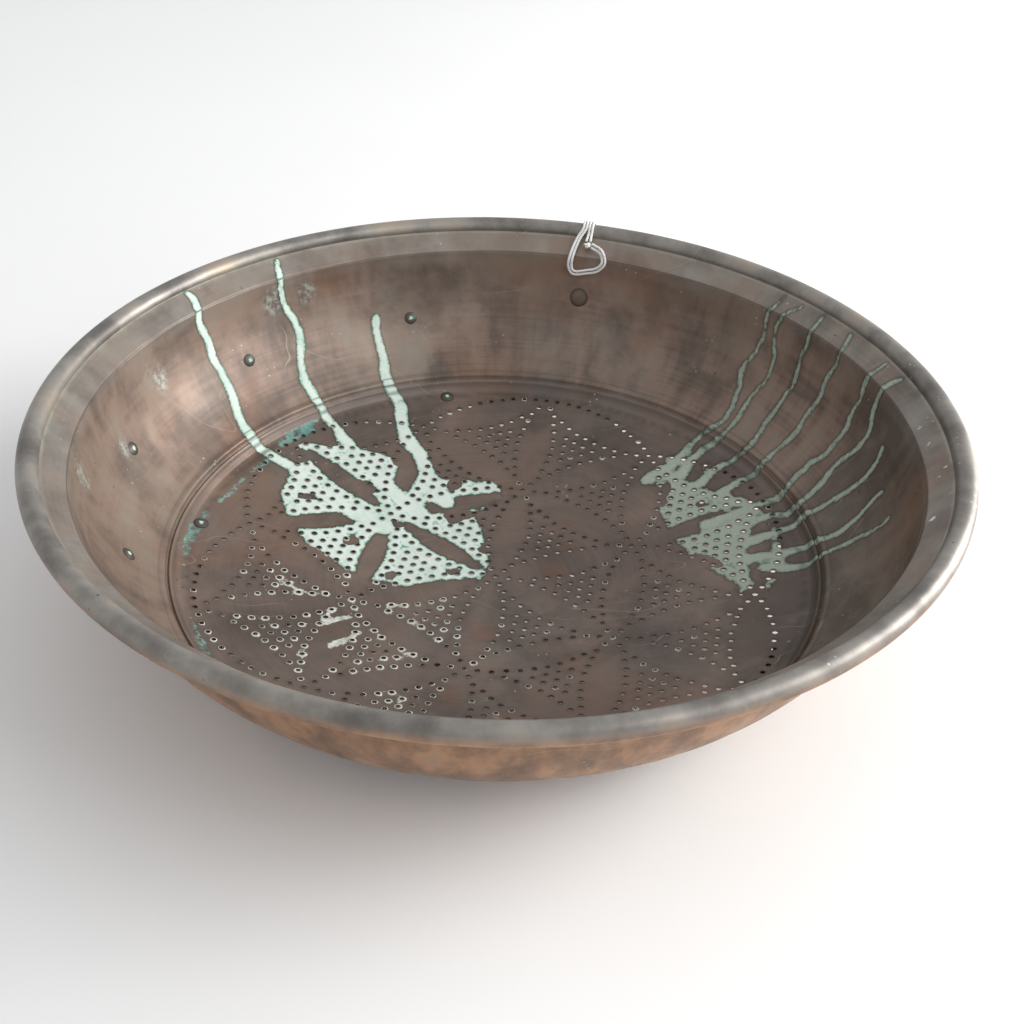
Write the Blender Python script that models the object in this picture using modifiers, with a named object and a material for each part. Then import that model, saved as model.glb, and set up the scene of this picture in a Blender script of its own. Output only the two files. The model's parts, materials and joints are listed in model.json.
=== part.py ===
"""Pierced copper straining bowl with a wired rim, a hanging ring and a string loop.

Metres, +Z up. The bowl's axis is the Z axis, and z = 0 is the underside of the floor.
The inside face of each copper sheet is laid out first, and its thickness goes outwards.
"""
import math

import bmesh
import bpy
from mathutils import Matrix, Vector

# ---- sheet and clearances ----
SHEET = 0.0011                     # thickness of the copper sheet
GAP = 0.0003                       # air between pieces that touch
STEPS = 72                         # facets round every large turned shape

# ---- rim: sheet rolled over an iron wire ----
RIM_R = 0.280                      # outermost radius of the rolled rim
WIRE_R = 0.0049
BEAD_R = WIRE_R + GAP + SHEET      # outside radius of the roll's section
BEAD_RING_R = RIM_R - BEAD_R       # radius of the circle that the wire follows
RIM_Z = 0.1268                     # height of the wire's centre above the underside
ROLL_TUCK_DEG = -130.0             # where the sheet's edge ends, under the roll
ROLL_JOIN_DEG = 197.0              # where the roll meets the sloping band
ROLL_PARTS = 10

# ---- wall: sloping band, crease, bellied wall, stepped seam, lip ----
CREASE_R = 0.2537
CREASE_DROP = 0.0120               # below the wire's centre
SEAM_R = 0.2058                    # top edge of the floor's collar
SEAM_DROP = 0.0960
WALL_BELLY = 0.0109                # how far the wall bows out from its chord
WALL_PARTS = 8
LIP_R = 0.1880                     # inner edge of the lip under the floor

# ---- floor: dished disc with a turned-up collar ----
FLOOR_R = 0.2008                   # bend between the dish and the collar
FLOOR_DROP = 0.1025
REST_R = 0.0600                    # flat middle that the bowl stands on
DISH_PARTS = 3

# ---- pierced pattern: arcs struck from the points of a triangular net ----
NET = 0.0966                       # side of the net's triangles
NET_TURN = math.radians(19.65)
ROW = 6                            # hole spacings along one side of a triangle
HOLE_R = 0.0019
HOLE_SIDES = 4

# ---- hanger: rivet, folded strap and ring ----
HANG_AZ = math.radians(76.6)
HANG_DROP = 0.0417
STRAP_W = 0.012
STRAP_TOP = 0.009                  # strap above the rivet
STRAP_FLAT = 0.0075                # strap below the rivet before it leaves the wall
EYE_DOWN = 0.013                   # eye's centre below the rivet, along the wall
EYE_OUT = 0.008                    # and out from the wall
EYE_R = 0.0042                     # middle of the sheet in the eye
EYE_FROM_DEG = -25.0
EYE_TO_DEG = 285.0
RING_R = 0.021                     # middle of the ring's wire
RING_WIRE_R = 0.00225
RING_RISE = 0.00043                # the ring's top lies this far above the hinge axis

# ---- rivets: head radius, head height, shank radius, tail radius, tail height ----
HANG_RIVET = (0.0070, 0.0011, 0.0027, 0.0045, 0.0018)
WALL_RIVET = (0.0046, 0.0010, 0.0018, 0.0040, 0.0012)
FLOOR_RIVET = (0.0050, 0.0012, 0.0020, 0.0042, 0.0012)
HEAD_LIFT = 0.0008                 # a flat head stands off the hollow face under it
HOLE_ROOM = 0.0004                 # between a shank and its hole
RIVET_ROW = 3                      # wall rivets in an even row
RIVET_ROW_AZ, RIVET_ROW_STEP = 107.0, 32.0
RIVET_ROW_DROP = 0.0580
LOW_RIVET_AZ, LOW_RIVET_DROP = 193.0, 0.0760
FLOOR_RIVET_R = 0.1955
FLOOR_RIVET_MID, FLOOR_RIVET_SPREAD = 138.0, 36.0
WALL_RIVETS = [(RIVET_ROW_AZ + RIVET_ROW_STEP * i, RIVET_ROW_DROP) for i in range(RIVET_ROW)]
WALL_RIVETS.append((LOW_RIVET_AZ, LOW_RIVET_DROP))
FLOOR_RIVET_AZ = [FLOOR_RIVET_MID + FLOOR_RIVET_SPREAD * side for side in (-1, 1)]

# ---- string: two laps through the ring and over the rim, knotted inside ----
STRING_R = 0.0010
STRING_CLEAR = STRING_R + 0.0008    # its middle from the rim, which leaves room for flat facets
STRING_PITCH = 0.0024              # between strands lying side by side
STRING_SIDE = 0.0083               # beside the eye, where a lap passes round the ring
STRING_TURN = 0.0058               # radius of that turn, which lets the ring swing
KNOT_R = 0.0030
STRING_STEP = 0.0045

COPPER = (0.29, 0.19, 0.14)
COPPER_DARK = (0.20, 0.13, 0.10)
IRON = (0.10, 0.08, 0.07)
COTTON = (0.86, 0.85, 0.80)


def clear_scene():
    for obj in list(bpy.data.objects):
        bpy.data.objects.remove(obj, do_unlink=True)


def collection(name):
    group = bpy.data.collections.new(name)
    bpy.context.scene.collection.children.link(group)
    return group


def material(name, colour, roughness, metallic):
    mat = bpy.data.materials.new(name)
    mat.use_nodes = True
    shader = mat.node_tree.nodes["Principled BSDF"]
    shader.inputs["Base Color"].default_value = (*colour, 1.0)
    shader.inputs["Roughness"].default_value = roughness
    shader.inputs["Metallic"].default_value = metallic
    return mat


def place(obj, group, mat=None):
    for owner in list(obj.users_collection):
        owner.objects.unlink(obj)
    group.objects.link(obj)
    if mat:
        obj.data.materials.append(mat)
    return obj


def chain(name, points):
    """An object whose mesh is one open run of edges through the points."""
    mesh = bpy.data.meshes.new(name)
    edges = [(i, i + 1) for i in range(len(points) - 1)]
    mesh.from_pydata([tuple(p) for p in points], edges, [])
    return bpy.data.objects.new(name, mesh)


def turn(obj, steps):
    """Turns an XZ profile about Z."""
    screw = obj.modifiers.new("turn", "SCREW")
    screw.axis = "Z"
    screw.steps = steps
    screw.render_steps = steps
    screw.use_merge_vertices = True
    screw.merge_threshold = 0.00001


def thicken(obj, thickness, offset):
    solid = obj.modifiers.new("sheet", "SOLIDIFY")
    solid.thickness = thickness
    solid.offset = offset
    solid.use_even_offset = True


def cut(obj, cutter):
    boolean = obj.modifiers.new("holes", "BOOLEAN")
    boolean.operation = "DIFFERENCE"
    boolean.solver = "EXACT"
    boolean.object = cutter


def smooth(obj, angle=35.0):
    obj.data.shade_smooth()
    obj.data.set_sharp_from_angle(angle=math.radians(angle))


def as_cutter(obj, group):
    place(obj, group)
    obj.hide_render = True
    obj.display_type = "WIRE"
    return obj


# ---- the turned profiles ----

def roll_face():
    """The outside of the rolled rim, from its join with the band round to its tucked edge."""
    points = []
    for i in range(ROLL_PARTS + 1):
        angle = math.radians(ROLL_JOIN_DEG + (ROLL_TUCK_DEG - ROLL_JOIN_DEG) * i / ROLL_PARTS)
        points.append((BEAD_RING_R + BEAD_R * math.cos(angle), RIM_Z + BEAD_R * math.sin(angle)))
    return points


def wall_curve(t):
    """A point of the wall's inside face and its direction, from the seam (0) to the crease (1)."""
    low = Vector((SEAM_R, RIM_Z - SEAM_DROP))
    high = Vector((CREASE_R, RIM_Z - CREASE_DROP))
    chord = (high - low).normalized()
    out = Vector((chord.y, -chord.x))
    pull = (low + high) / 2 + out * 2 * WALL_BELLY
    point = low * (1 - t) ** 2 + pull * 2 * t * (1 - t) + high * t ** 2
    way = (pull - low) * (1 - t) + (high - pull) * t
    return point, way.normalized()


def floor_height(r):
    """Height of the floor's upper face."""
    rise = RIM_Z - FLOOR_DROP - SHEET
    return SHEET + rise * max(0.0, r * r - REST_R ** 2) / (FLOOR_R ** 2 - REST_R ** 2)


def floor_slope(r):
    rise = RIM_Z - FLOOR_DROP - SHEET
    return 2 * r * rise / (FLOOR_R ** 2 - REST_R ** 2)


def floor_profile():
    points = [(0.0, SHEET)]
    for i in range(DISH_PARTS + 1):
        r = REST_R + (FLOOR_R - REST_R) * i / DISH_PARTS
        points.append((r, floor_height(r)))
    points.append((SEAM_R, RIM_Z - SEAM_DROP))
    return points


def wall_profile():
    """From the lip's inner edge, under the floor, up the wall and over the rim."""
    collar = Vector((SEAM_R - FLOOR_R, FLOOR_DROP - SEAM_DROP)).normalized()
    under = Vector((collar.y, -collar.x)) * (SHEET + GAP)
    drop = SHEET + GAP
    points = [(LIP_R, floor_height(LIP_R) - drop * math.hypot(1, floor_slope(LIP_R)))]
    bend = FLOOR_R + under.x * 0.75
    points.append((bend, floor_height(bend) - drop * math.hypot(1, floor_slope(bend))))
    points.append((SEAM_R + under.x, RIM_Z - SEAM_DROP + under.y))
    for i in range(1, WALL_PARTS + 1):
        point = wall_curve(i / WALL_PARTS)[0]
        points.append((point.x, point.y))
    return points + roll_face()


def upright(points):
    return [Vector((r, 0.0, z)) for r, z in points]


# ---- frames on the wall and on the floor ----

def frame_at(azimuth, r, z, slope):
    """Local Z is the inward normal, local Y runs up the face and local X goes round the bowl."""
    radial = Vector((math.cos(azimuth), math.sin(azimuth), 0.0))
    up_face = radial * math.cos(slope) + Vector((0.0, 0.0, math.sin(slope)))
    normal = Vector((0.0, 0.0, math.cos(slope))) - radial * math.sin(slope)
    across = up_face.cross(normal)
    rotation = Matrix((across, up_face, normal)).transposed().to_4x4()
    return Matrix.Translation(radial * r + Vector((0.0, 0.0, z))) @ rotation


def wall_frame(azimuth, drop):
    low, high = 0.0, 1.0
    for _ in range(40):
        mid = (low + high) / 2
        if wall_curve(mid)[0].y < RIM_Z - drop:
            low = mid
        else:
            high = mid
    point, way = wall_curve(low)
    return frame_at(azimuth, point.x, point.y, math.atan2(way.y, way.x))


def floor_frame(azimuth, r):
    return frame_at(azimuth, r, floor_height(r), math.atan(floor_slope(r)))


# ---- rivets ----

def rivet(name, frame, size, grip):
    """A flat head inside, a shank through `grip` of metal and a low domed tail outside."""
    head_r, head_h, shank_r, tail_r, tail_h = size
    tail = -grip - GAP
    profile = [
        (0.0, HEAD_LIFT + head_h),
        (head_r * 0.86, HEAD_LIFT + head_h),
        (head_r, HEAD_LIFT + head_h * 0.55),
        (head_r, HEAD_LIFT),
        (shank_r, HEAD_LIFT),
        (shank_r, tail),
        (tail_r, tail),
        (tail_r * 0.8, tail - tail_h * 0.7),
        (0.0, tail - tail_h),
    ]
    obj = chain(name, upright(profile))
    turn(obj, 16)
    obj.matrix_world = frame
    smooth(obj)
    return obj


def rod(name, frame, radius, below, above, sides=16):
    """A closed cylinder along the frame's Z, as a mesh in world space."""
    mesh = bpy.data.meshes.new(name)
    shape = bmesh.new()
    bmesh.ops.create_cone(shape, cap_ends=True, segments=sides, radius1=radius, radius2=radius,
                          depth=below + above)
    bmesh.ops.translate(shape, verts=shape.verts, vec=(0.0, 0.0, (above - below) / 2))
    bmesh.ops.transform(shape, matrix=frame, verts=shape.verts)
    shape.to_mesh(mesh)
    shape.free()
    return bpy.data.objects.new(name, mesh)


def join_meshes(name, objects):
    """One object holding the evaluated meshes of several, which are then removed."""
    depsgraph = bpy.context.evaluated_depsgraph_get()
    merged = bmesh.new()
    for obj in objects:
        mesh = bpy.data.meshes.new_from_object(obj.evaluated_get(depsgraph))
        mesh.transform(obj.matrix_world)
        merged.from_mesh(mesh)
        bpy.data.meshes.remove(mesh)
    for obj in objects:
        bpy.data.objects.remove(obj, do_unlink=True)
    mesh = bpy.data.meshes.new(name)
    merged.to_mesh(mesh)
    merged.free()
    return bpy.data.objects.new(name, mesh)


# ---- the pierced pattern ----

def net_point(i, j):
    first = Vector((math.cos(NET_TURN), math.sin(NET_TURN)))
    turned = NET_TURN + math.pi / 3
    second = Vector((math.cos(turned), math.sin(turned)))
    return (first * i + second * j) * NET


def net_triangles():
    """The triangles of a net hexagon, two sides of the net across."""
    triangles = []
    for i in range(-2, 2):
        for j in range(-2, 2):
            a, b, c, d = (i, j), (i + 1, j), (i, j + 1), (i + 1, j + 1)
            for corners in ((a, b, c), (b, d, c)):
                if all(abs(p + q) <= 2 for p, q in corners):
                    triangles.append([net_point(p, q) for p, q in corners])
    return triangles


def arc_points(start, end, centre, count):
    """Points between two ends of a 60 degree arc, ends left out."""
    spoke = start - centre
    turned = spoke.angle_signed(end - centre)
    points = []
    for i in range(1, count):
        points.append(centre + Matrix.Rotation(-turned * i / count, 2) @ spoke)
    return points


def hole_centres(row):
    """Holes along every arc, between the arcs of every triangle, and along the outer arcs."""
    step = NET / row
    centres = []

    def add(point, room):
        if all((point - other).length > room for other in centres):
            centres.append(point)

    for i in range(-2, 3):
        for j in range(-2, 3):
            if abs(i + j) <= 2:
                add(net_point(i, j), step * 0.5)
    for corners in net_triangles():
        sides = []
        for k in range(3):
            a, b, c = corners[k], corners[(k + 1) % 3], corners[(k + 2) % 3]
            sides.append(arc_points(a, b, a + b - c, row))
        for k in range(3):
            near, far = sides[k], sides[(k + 2) % 3][::-1]
            for m in range(row // 2):
                if (near[m] - far[m]).length < step * 0.75:
                    add((near[m] + far[m]) / 2, step * 0.7)
        for side in sides:
            for point in side[1:-1]:
                add(point, step * 0.75)
        for m in range(1, row):
            for n in range(1, row - m):
                weights = (m / row, n / row, 1 - (m + n) / row)
                point = sum((c * w for c, w in zip(corners, weights)), Vector((0.0, 0.0)))
                if inside_arcs(point, corners, step * 0.7):
                    add(point, step * 0.7)
    for k in range(6):
        heading = Matrix.Rotation(math.radians(60 * k), 2)
        hub = heading @ net_point(1, 0)
        for m in range(2 * row + 1):
            angle = NET_TURN + math.radians(60 * k - 60 + 60 * m / row)
            add(hub + Vector((math.cos(angle), math.sin(angle))) * NET, step * 0.6)
    return centres


def inside_arcs(point, corners, margin):
    a, b, c = corners
    centres = (a + b - c, b + c - a, c + a - b)
    return all((point - centre).length > NET + margin for centre in centres)


def hole_cutter(group):
    merged = bmesh.new()
    for centre in hole_centres(ROW):
        lift = floor_height(centre.length)
        spin = Matrix.Rotation(math.atan2(centre.y, centre.x), 4, "Z")
        matrix = Matrix.Translation((centre.x, centre.y, lift)) @ spin
        bmesh.ops.create_cone(merged, cap_ends=True, segments=HOLE_SIDES, radius1=HOLE_R,
                              radius2=HOLE_R, depth=6 * SHEET, matrix=matrix)
    mesh = bpy.data.meshes.new("cut_pierced")
    merged.to_mesh(mesh)
    merged.free()
    return as_cutter(bpy.data.objects.new("cut_pierced", mesh), group)


# ---- hanger ----

def hanger_frame():
    """On the wall's outside face: local X round the bowl, Y up the wall, Z outwards."""
    inner = wall_frame(HANG_AZ, HANG_DROP)
    return inner @ Matrix.Translation((0.0, 0.0, -SHEET)) @ Matrix.Rotation(math.pi, 4, "Y")


def hinge_point():
    return hanger_frame() @ Vector((0.0, -EYE_DOWN, EYE_OUT))


def strap_profile():
    """Local Y and Z of the strap's middle: flat on the wall, then curled into the eye."""
    flat = GAP + SHEET / 2
    points = [(STRAP_TOP, flat), (-STRAP_FLAT, flat)]
    parts = 14
    for i in range(parts + 1):
        angle = math.radians(EYE_FROM_DEG + (EYE_TO_DEG - EYE_FROM_DEG) * i / parts)
        y = -EYE_DOWN - EYE_R * math.sin(angle)
        points.append((y, EYE_OUT - EYE_R * math.cos(angle)))
    return points


def make_strap(mat, group, cutters):
    obj = chain("hanger_strap", [Vector((-STRAP_W / 2, y, z)) for y, z in strap_profile()])
    shape = bmesh.new()
    shape.from_mesh(obj.data)
    grown = bmesh.ops.extrude_edge_only(shape, edges=shape.edges[:])
    moved = [v for v in grown["geom"] if isinstance(v, bmesh.types.BMVert)]
    bmesh.ops.translate(shape, verts=moved, vec=(STRAP_W, 0.0, 0.0))
    bmesh.ops.recalc_face_normals(shape, faces=shape.faces[:])
    shape.to_mesh(obj.data)
    shape.free()
    obj.matrix_world = hanger_frame()
    thicken(obj, SHEET, 0.0)
    hole = rod("cut_strap", hanger_frame(), HANG_RIVET[2] + HOLE_ROOM, 3 * SHEET, 3 * SHEET)
    cut(obj, as_cutter(hole, cutters))
    smooth(obj)
    return place(obj, group, mat)


def make_ring(mat, group):
    hinge = hinge_point()
    pivot = bpy.data.objects.new("hanging_ring_pivot", None)
    pivot.location = hinge
    pivot.rotation_euler = (0.0, 0.0, HANG_AZ - math.pi / 2)
    pivot.empty_display_size = 0.01
    place(pivot, group)
    bpy.ops.mesh.primitive_torus_add(major_segments=48, minor_segments=10, major_radius=RING_R,
                                     minor_radius=RING_WIRE_R)
    ring = bpy.context.object
    ring.name = "hanging_ring"
    ring.rotation_euler = (math.pi / 2, 0.0, 0.0)
    ring.location = (0.0, 0.0, RING_RISE - RING_R)
    ring.parent = pivot
    ring.data.shade_smooth()
    return place(ring, group, mat)


# ---- string ----

def polar(across, r, z):
    """A point `across` metres round from the hanger, positive towards greater azimuth."""
    azimuth = HANG_AZ + across / RIM_R
    return Vector((r * math.cos(azimuth), r * math.sin(azimuth), RIM_Z + z))


def over_rim(across, degrees):
    reach = BEAD_R + STRING_CLEAR
    angle = math.radians(degrees)
    return polar(across, BEAD_RING_R + reach * math.cos(angle), reach * math.sin(angle))


def lap_route(k):
    """Knot, over the rim, round the ring, back over the rim, the loop inside, knot."""
    hinge = hinge_point()
    hinge_r, hinge_z = math.hypot(hinge.x, hinge.y), hinge.z - RIM_Z
    way = (-1, 1)[k]
    side = way * STRING_SIDE * RIM_R / hinge_r
    down = (k - 1.5) * STRING_PITCH
    up = (k + 0.5) * STRING_PITCH
    return [
        knot_edge(0.44 * way, 0.90),
        over_rim(down, 165),
        over_rim(down, 125),
        over_rim(down, 80),
        over_rim(down, 30),
        over_rim(down, -15),
        polar(down + 0.0009 * way, hinge_r + 0.0165, hinge_z + 0.0260),
        polar(side, hinge_r + STRING_TURN + 0.0010, hinge_z + 0.0040),
        polar(side, hinge_r + STRING_TURN * 0.75, hinge_z - STRING_TURN * 0.7),
        polar(side, hinge_r, hinge_z - STRING_TURN),
        polar(side, hinge_r - STRING_TURN * 0.72, hinge_z - STRING_TURN * 0.6),
        polar(side, hinge_r - STRING_TURN + 0.0008, hinge_z + 0.0040),
        polar(side, hinge_r - 0.0005, hinge_z + 0.0140),
        polar(side * 0.98, hinge_r + 0.0035, hinge_z + 0.0215),
        polar(up + 0.0008 * way, hinge_r + 0.0172, hinge_z + 0.0400),
        over_rim(up, -38),
        over_rim(up, 5),
        over_rim(up, 50),
        over_rim(up, 95),
        over_rim(up, 140),
        polar(0.0040 + up, 0.2622, -0.0015),
        polar(0.0082 + 0.0026 * k, 0.2520, -0.0110),
        polar(0.0086 + 0.0026 * k, 0.2503, -0.0185 - 0.0006 * k),
        polar(0.0055 + 0.0012 * k, 0.2502, -0.0222 - 0.0024 * k),
        polar(-0.0035, 0.2505, -0.0205 - 0.0026 * k),
        polar(-0.0125 - 0.0010 * k, 0.2508, -0.0178 - 0.0024 * k),
        polar(-0.0168 - 0.0026 * k, 0.2516, -0.0128 - 0.0004 * k),
        polar(-0.0140 - 0.0014 * k, 0.2545, -0.0072 + 0.0024 * k),
        knot_edge(-0.90, 0.44 * way),
    ]


def knot_centre():
    return polar(-0.0024, 0.2580, -0.0036)


def knot_edge(across, up_band):
    """A point just off the knot, from its middle: round the bowl, and up the sloping band."""
    radial = Vector((math.cos(HANG_AZ), math.sin(HANG_AZ), 0.0))
    around = Vector((-radial.y, radial.x, 0.0))
    band = Vector((BEAD_RING_R - BEAD_R - CREASE_R, CREASE_DROP)).normalized()
    climb = radial * band.x + Vector((0.0, 0.0, band.y))
    return knot_centre() + (around * across + climb * up_band).normalized() * (KNOT_R + 2 * GAP)


def smooth_points(route, step):
    """A Catmull-Rom curve through the route, read every `step` metres."""
    ends = [route[0] * 2 - route[1]] + route + [route[-1] * 2 - route[-2]]
    fine = []
    for a, b, c, d in zip(ends, ends[1:], ends[2:], ends[3:]):
        for i in range(12):
            t = i / 12
            fine.append(0.5 * (b * 2 + (c - a) * t + (a * 2 - b * 5 + c * 4 - d) * t * t
                               + (b * 3 - a - c * 3 + d) * t ** 3))
    fine.append(route[-1])
    total = sum((q - p).length for p, q in zip(fine, fine[1:]))
    count = round(total / step)
    points, walked, wanted = [fine[0]], 0.0, total / count
    for p, q in zip(fine, fine[1:]):
        length = (q - p).length
        while walked + length >= wanted * len(points) and len(points) < count:
            points.append(p.lerp(q, (wanted * len(points) - walked) / length))
        walked += length
    points.append(fine[-1])
    return points


def make_lap(k, mat, group):
    curve = bpy.data.curves.new("string_lap_%d" % (k + 1), "CURVE")
    curve.dimensions = "3D"
    curve.bevel_depth = STRING_R
    curve.bevel_resolution = 2
    curve.use_fill_caps = True
    points = smooth_points(lap_route(k), STRING_STEP)
    spline = curve.splines.new("POLY")
    spline.points.add(len(points) - 1)
    for spot, point in zip(spline.points, points):
        spot.co = (*point, 1.0)
    return place(bpy.data.objects.new(curve.name, curve), group, mat)


def make_knot(mat, group):
    mesh = bpy.data.meshes.new("string_knot")
    shape = bmesh.new()
    bmesh.ops.create_uvsphere(shape, u_segments=12, v_segments=8, radius=KNOT_R)
    shape.to_mesh(mesh)
    shape.free()
    obj = bpy.data.objects.new("string_knot", mesh)
    obj.location = knot_centre()
    mesh.shade_smooth()
    return place(obj, group, mat)


# ---- assembly ----

def build():
    clear_scene()
    parts = collection("copper_straining_bowl")
    cutters = collection("cutters")
    copper = material("aged_copper", COPPER, 0.42, 1.0)
    floor_copper = material("dark_copper", COPPER_DARK, 0.5, 1.0)
    iron = material("iron", IRON, 0.6, 0.9)
    cotton = material("cotton", COTTON, 0.9, 0.0)

    wall_cuts = [rod("hole", wall_frame(math.radians(az), drop), WALL_RIVET[2] + HOLE_ROOM,
                     3 * SHEET, 3 * SHEET, 10) for az, drop in WALL_RIVETS]
    wall_cuts.append(rod("hole", wall_frame(HANG_AZ, HANG_DROP), HANG_RIVET[2] + HOLE_ROOM,
                         3 * SHEET, 3 * SHEET, 12))
    floor_cuts = [rod("hole", floor_frame(math.radians(az), FLOOR_RIVET_R),
                      FLOOR_RIVET[2] + HOLE_ROOM, 4 * SHEET, 3 * SHEET, 10)
                  for az in FLOOR_RIVET_AZ]
    for hole in wall_cuts + floor_cuts:
        parts.objects.link(hole)
    wall_cutter = as_cutter(join_meshes("cut_wall_rivets", wall_cuts), cutters)
    floor_cutter = as_cutter(join_meshes("cut_floor_rivets", floor_cuts), cutters)

    wall = chain("bowl_wall", upright(wall_profile()))
    turn(wall, STEPS)
    thicken(wall, SHEET, -1.0)
    cut(wall, wall_cutter)
    cut(wall, floor_cutter)
    smooth(wall)
    place(wall, parts, copper)

    floor = chain("floor_plate", upright(floor_profile()))
    turn(floor, STEPS)
    thicken(floor, SHEET, -1.0)
    cut(floor, hole_cutter(cutters))
    cut(floor, floor_cutter)
    smooth(floor)
    place(floor, parts, floor_copper)

    bpy.ops.mesh.primitive_torus_add(major_segments=STEPS, minor_segments=8, minor_radius=WIRE_R,
                                     major_radius=BEAD_RING_R, location=(0.0, 0.0, RIM_Z))
    wire = bpy.context.object
    wire.name = "rim_wire"
    wire.data.shade_smooth()
    place(wire, parts, iron)

    for i, (az, drop) in enumerate(WALL_RIVETS):
        frame = wall_frame(math.radians(az), drop)
        pin = rivet("wall_rivet_%d" % (i + 1), frame, WALL_RIVET, SHEET)
        place(pin, parts, floor_copper)
    for i, az in enumerate(FLOOR_RIVET_AZ):
        frame = floor_frame(math.radians(az), FLOOR_RIVET_R)
        pin = rivet("floor_rivet_%d" % (i + 1), frame, FLOOR_RIVET, 2 * SHEET + GAP)
        place(pin, parts, floor_copper)
    pin = rivet("hanger_rivet", wall_frame(HANG_AZ, HANG_DROP), HANG_RIVET, 2 * SHEET + GAP)
    place(pin, parts, floor_copper)
    make_strap(floor_copper, parts, cutters)
    make_ring(iron, parts)
    for k in range(2):
        make_lap(k, cotton, parts)
    make_knot(cotton, parts)


build()
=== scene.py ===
"""Looks for the pierced copper straining bowl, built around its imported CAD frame.

Metres, +Z up: the bowl's axis is Z and z = 0 is the underside of the floor. The wall and floor
are made again here, finer than the CAD's, on the same profile. What has run or settled on them
is laid out on a flat map of the bowl, kept as vertex attributes in millimetres from the edge of
each stain, and given its crisp, uneven edge by noise in the materials.
"""

import json
import math
from collections import namedtuple

import bmesh
import bpy
import numpy as np
from mathutils import Matrix, Vector, geometry, noise


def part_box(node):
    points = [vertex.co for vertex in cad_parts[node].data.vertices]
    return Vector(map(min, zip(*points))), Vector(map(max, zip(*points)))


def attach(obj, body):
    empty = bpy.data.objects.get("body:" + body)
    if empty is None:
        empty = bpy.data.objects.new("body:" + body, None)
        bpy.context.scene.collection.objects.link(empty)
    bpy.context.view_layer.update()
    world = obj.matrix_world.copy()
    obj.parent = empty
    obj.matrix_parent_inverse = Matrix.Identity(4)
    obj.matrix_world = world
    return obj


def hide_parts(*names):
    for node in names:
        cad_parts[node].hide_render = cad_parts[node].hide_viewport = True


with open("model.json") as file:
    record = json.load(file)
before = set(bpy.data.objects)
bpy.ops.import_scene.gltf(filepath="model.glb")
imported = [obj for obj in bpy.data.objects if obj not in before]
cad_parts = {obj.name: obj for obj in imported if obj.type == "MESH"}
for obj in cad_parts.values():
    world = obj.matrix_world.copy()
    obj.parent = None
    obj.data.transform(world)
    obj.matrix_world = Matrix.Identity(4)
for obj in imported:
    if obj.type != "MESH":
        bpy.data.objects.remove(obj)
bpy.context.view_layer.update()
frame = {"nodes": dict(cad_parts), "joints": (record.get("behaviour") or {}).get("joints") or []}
MM = 0.001

# ---- the bowl's profile, as in the CAD ----
SHEET = 0.0011
GAP = 0.0003
RIM_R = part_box("bowl_wall")[1].x
WIRE_R = 0.0049
BEAD_R = WIRE_R + GAP + SHEET
BEAD_RING_R = RIM_R - BEAD_R
RIM_Z = 0.1268
ROLL_TUCK_DEG = -130.0
ROLL_JOIN_DEG = 197.0
CREASE_R, CREASE_DROP = 0.2537, 0.0120
SEAM_R, SEAM_DROP = 0.2058, 0.0960
WALL_BELLY = 0.0109
LIP_R = 0.1880
FLOOR_R, FLOOR_DROP = 0.2008, 0.1025
REST_R = 0.0600

# ---- small forms turned or beaten into the sheet: place, width and height along the profile ----
SEAM_RIDGE = 0.0046, 0.0016, 0.0006
CREASE_GROOVE = 0.0, 0.0006, 0.00035
JOIN_RIDGE = -0.0012, 0.0007, 0.00025
FLOOR_RIDGE = -0.0012, 0.0012, 0.0004
WALL_HAMMER = 0.021, 0.00022        # size and depth of the marks
FLOOR_HAMMER = 0.034, 0.00030
TUCKED_FROM, TUCKED_OVER = 0.0175, 0.006    # past the join, where the bead faces down

# ---- fineness of the meshes ----
STEPS = 640
WALL_STEP = 0.0018
FINE_STEP = 0.0004                 # along the profile, near a crease or ridge
FINE_REACH = 0.0022

# ---- pierced pattern ----
NET = 0.0966
NET_TURN = math.radians(19.65)
ROW = 12
HOLE_R = 0.00160
HOLE_SIDES = 12
DIMPLE_R = 0.0028
HOLE_FLARE = 0.00045               # the punch breaks out this much wider below
MESH_STEP = 0.0042                 # between points of the floor away from the holes
EDGE_STEPS = 360
COLLAR_ROWS = 9
HOLE_SHIFT, HOLE_SPREAD = 0.00022, 0.05     # unevenness of the punching
BURR, BURR_SPREAD = 0.00022, 0.00012
HOLE_SEED = 5

# ---- hanger and string ----
HANG_AZ = math.radians(76.6)
HINGE = Vector(frame["joints"][0]["pos_m"])
RING_R, RING_WIRE_R, RING_RISE = 0.021, 0.00225, 0.00043
STRING_R = 0.0010
STRING_CLEAR = STRING_R + 0.0008
STRING_PITCH = 0.0024
STRING_SIDE = 0.0083
STRING_TURN = 0.0058
KNOT_R = 0.0030
PLIES = 3
STRING_STEP, STRING_SIDES = 0.0006, 18
KNOT_POINTS, KNOT_SIZE = 110, 0.00074
TWIST_LENGTH = 0.0075              # one full turn of the string's plies

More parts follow.
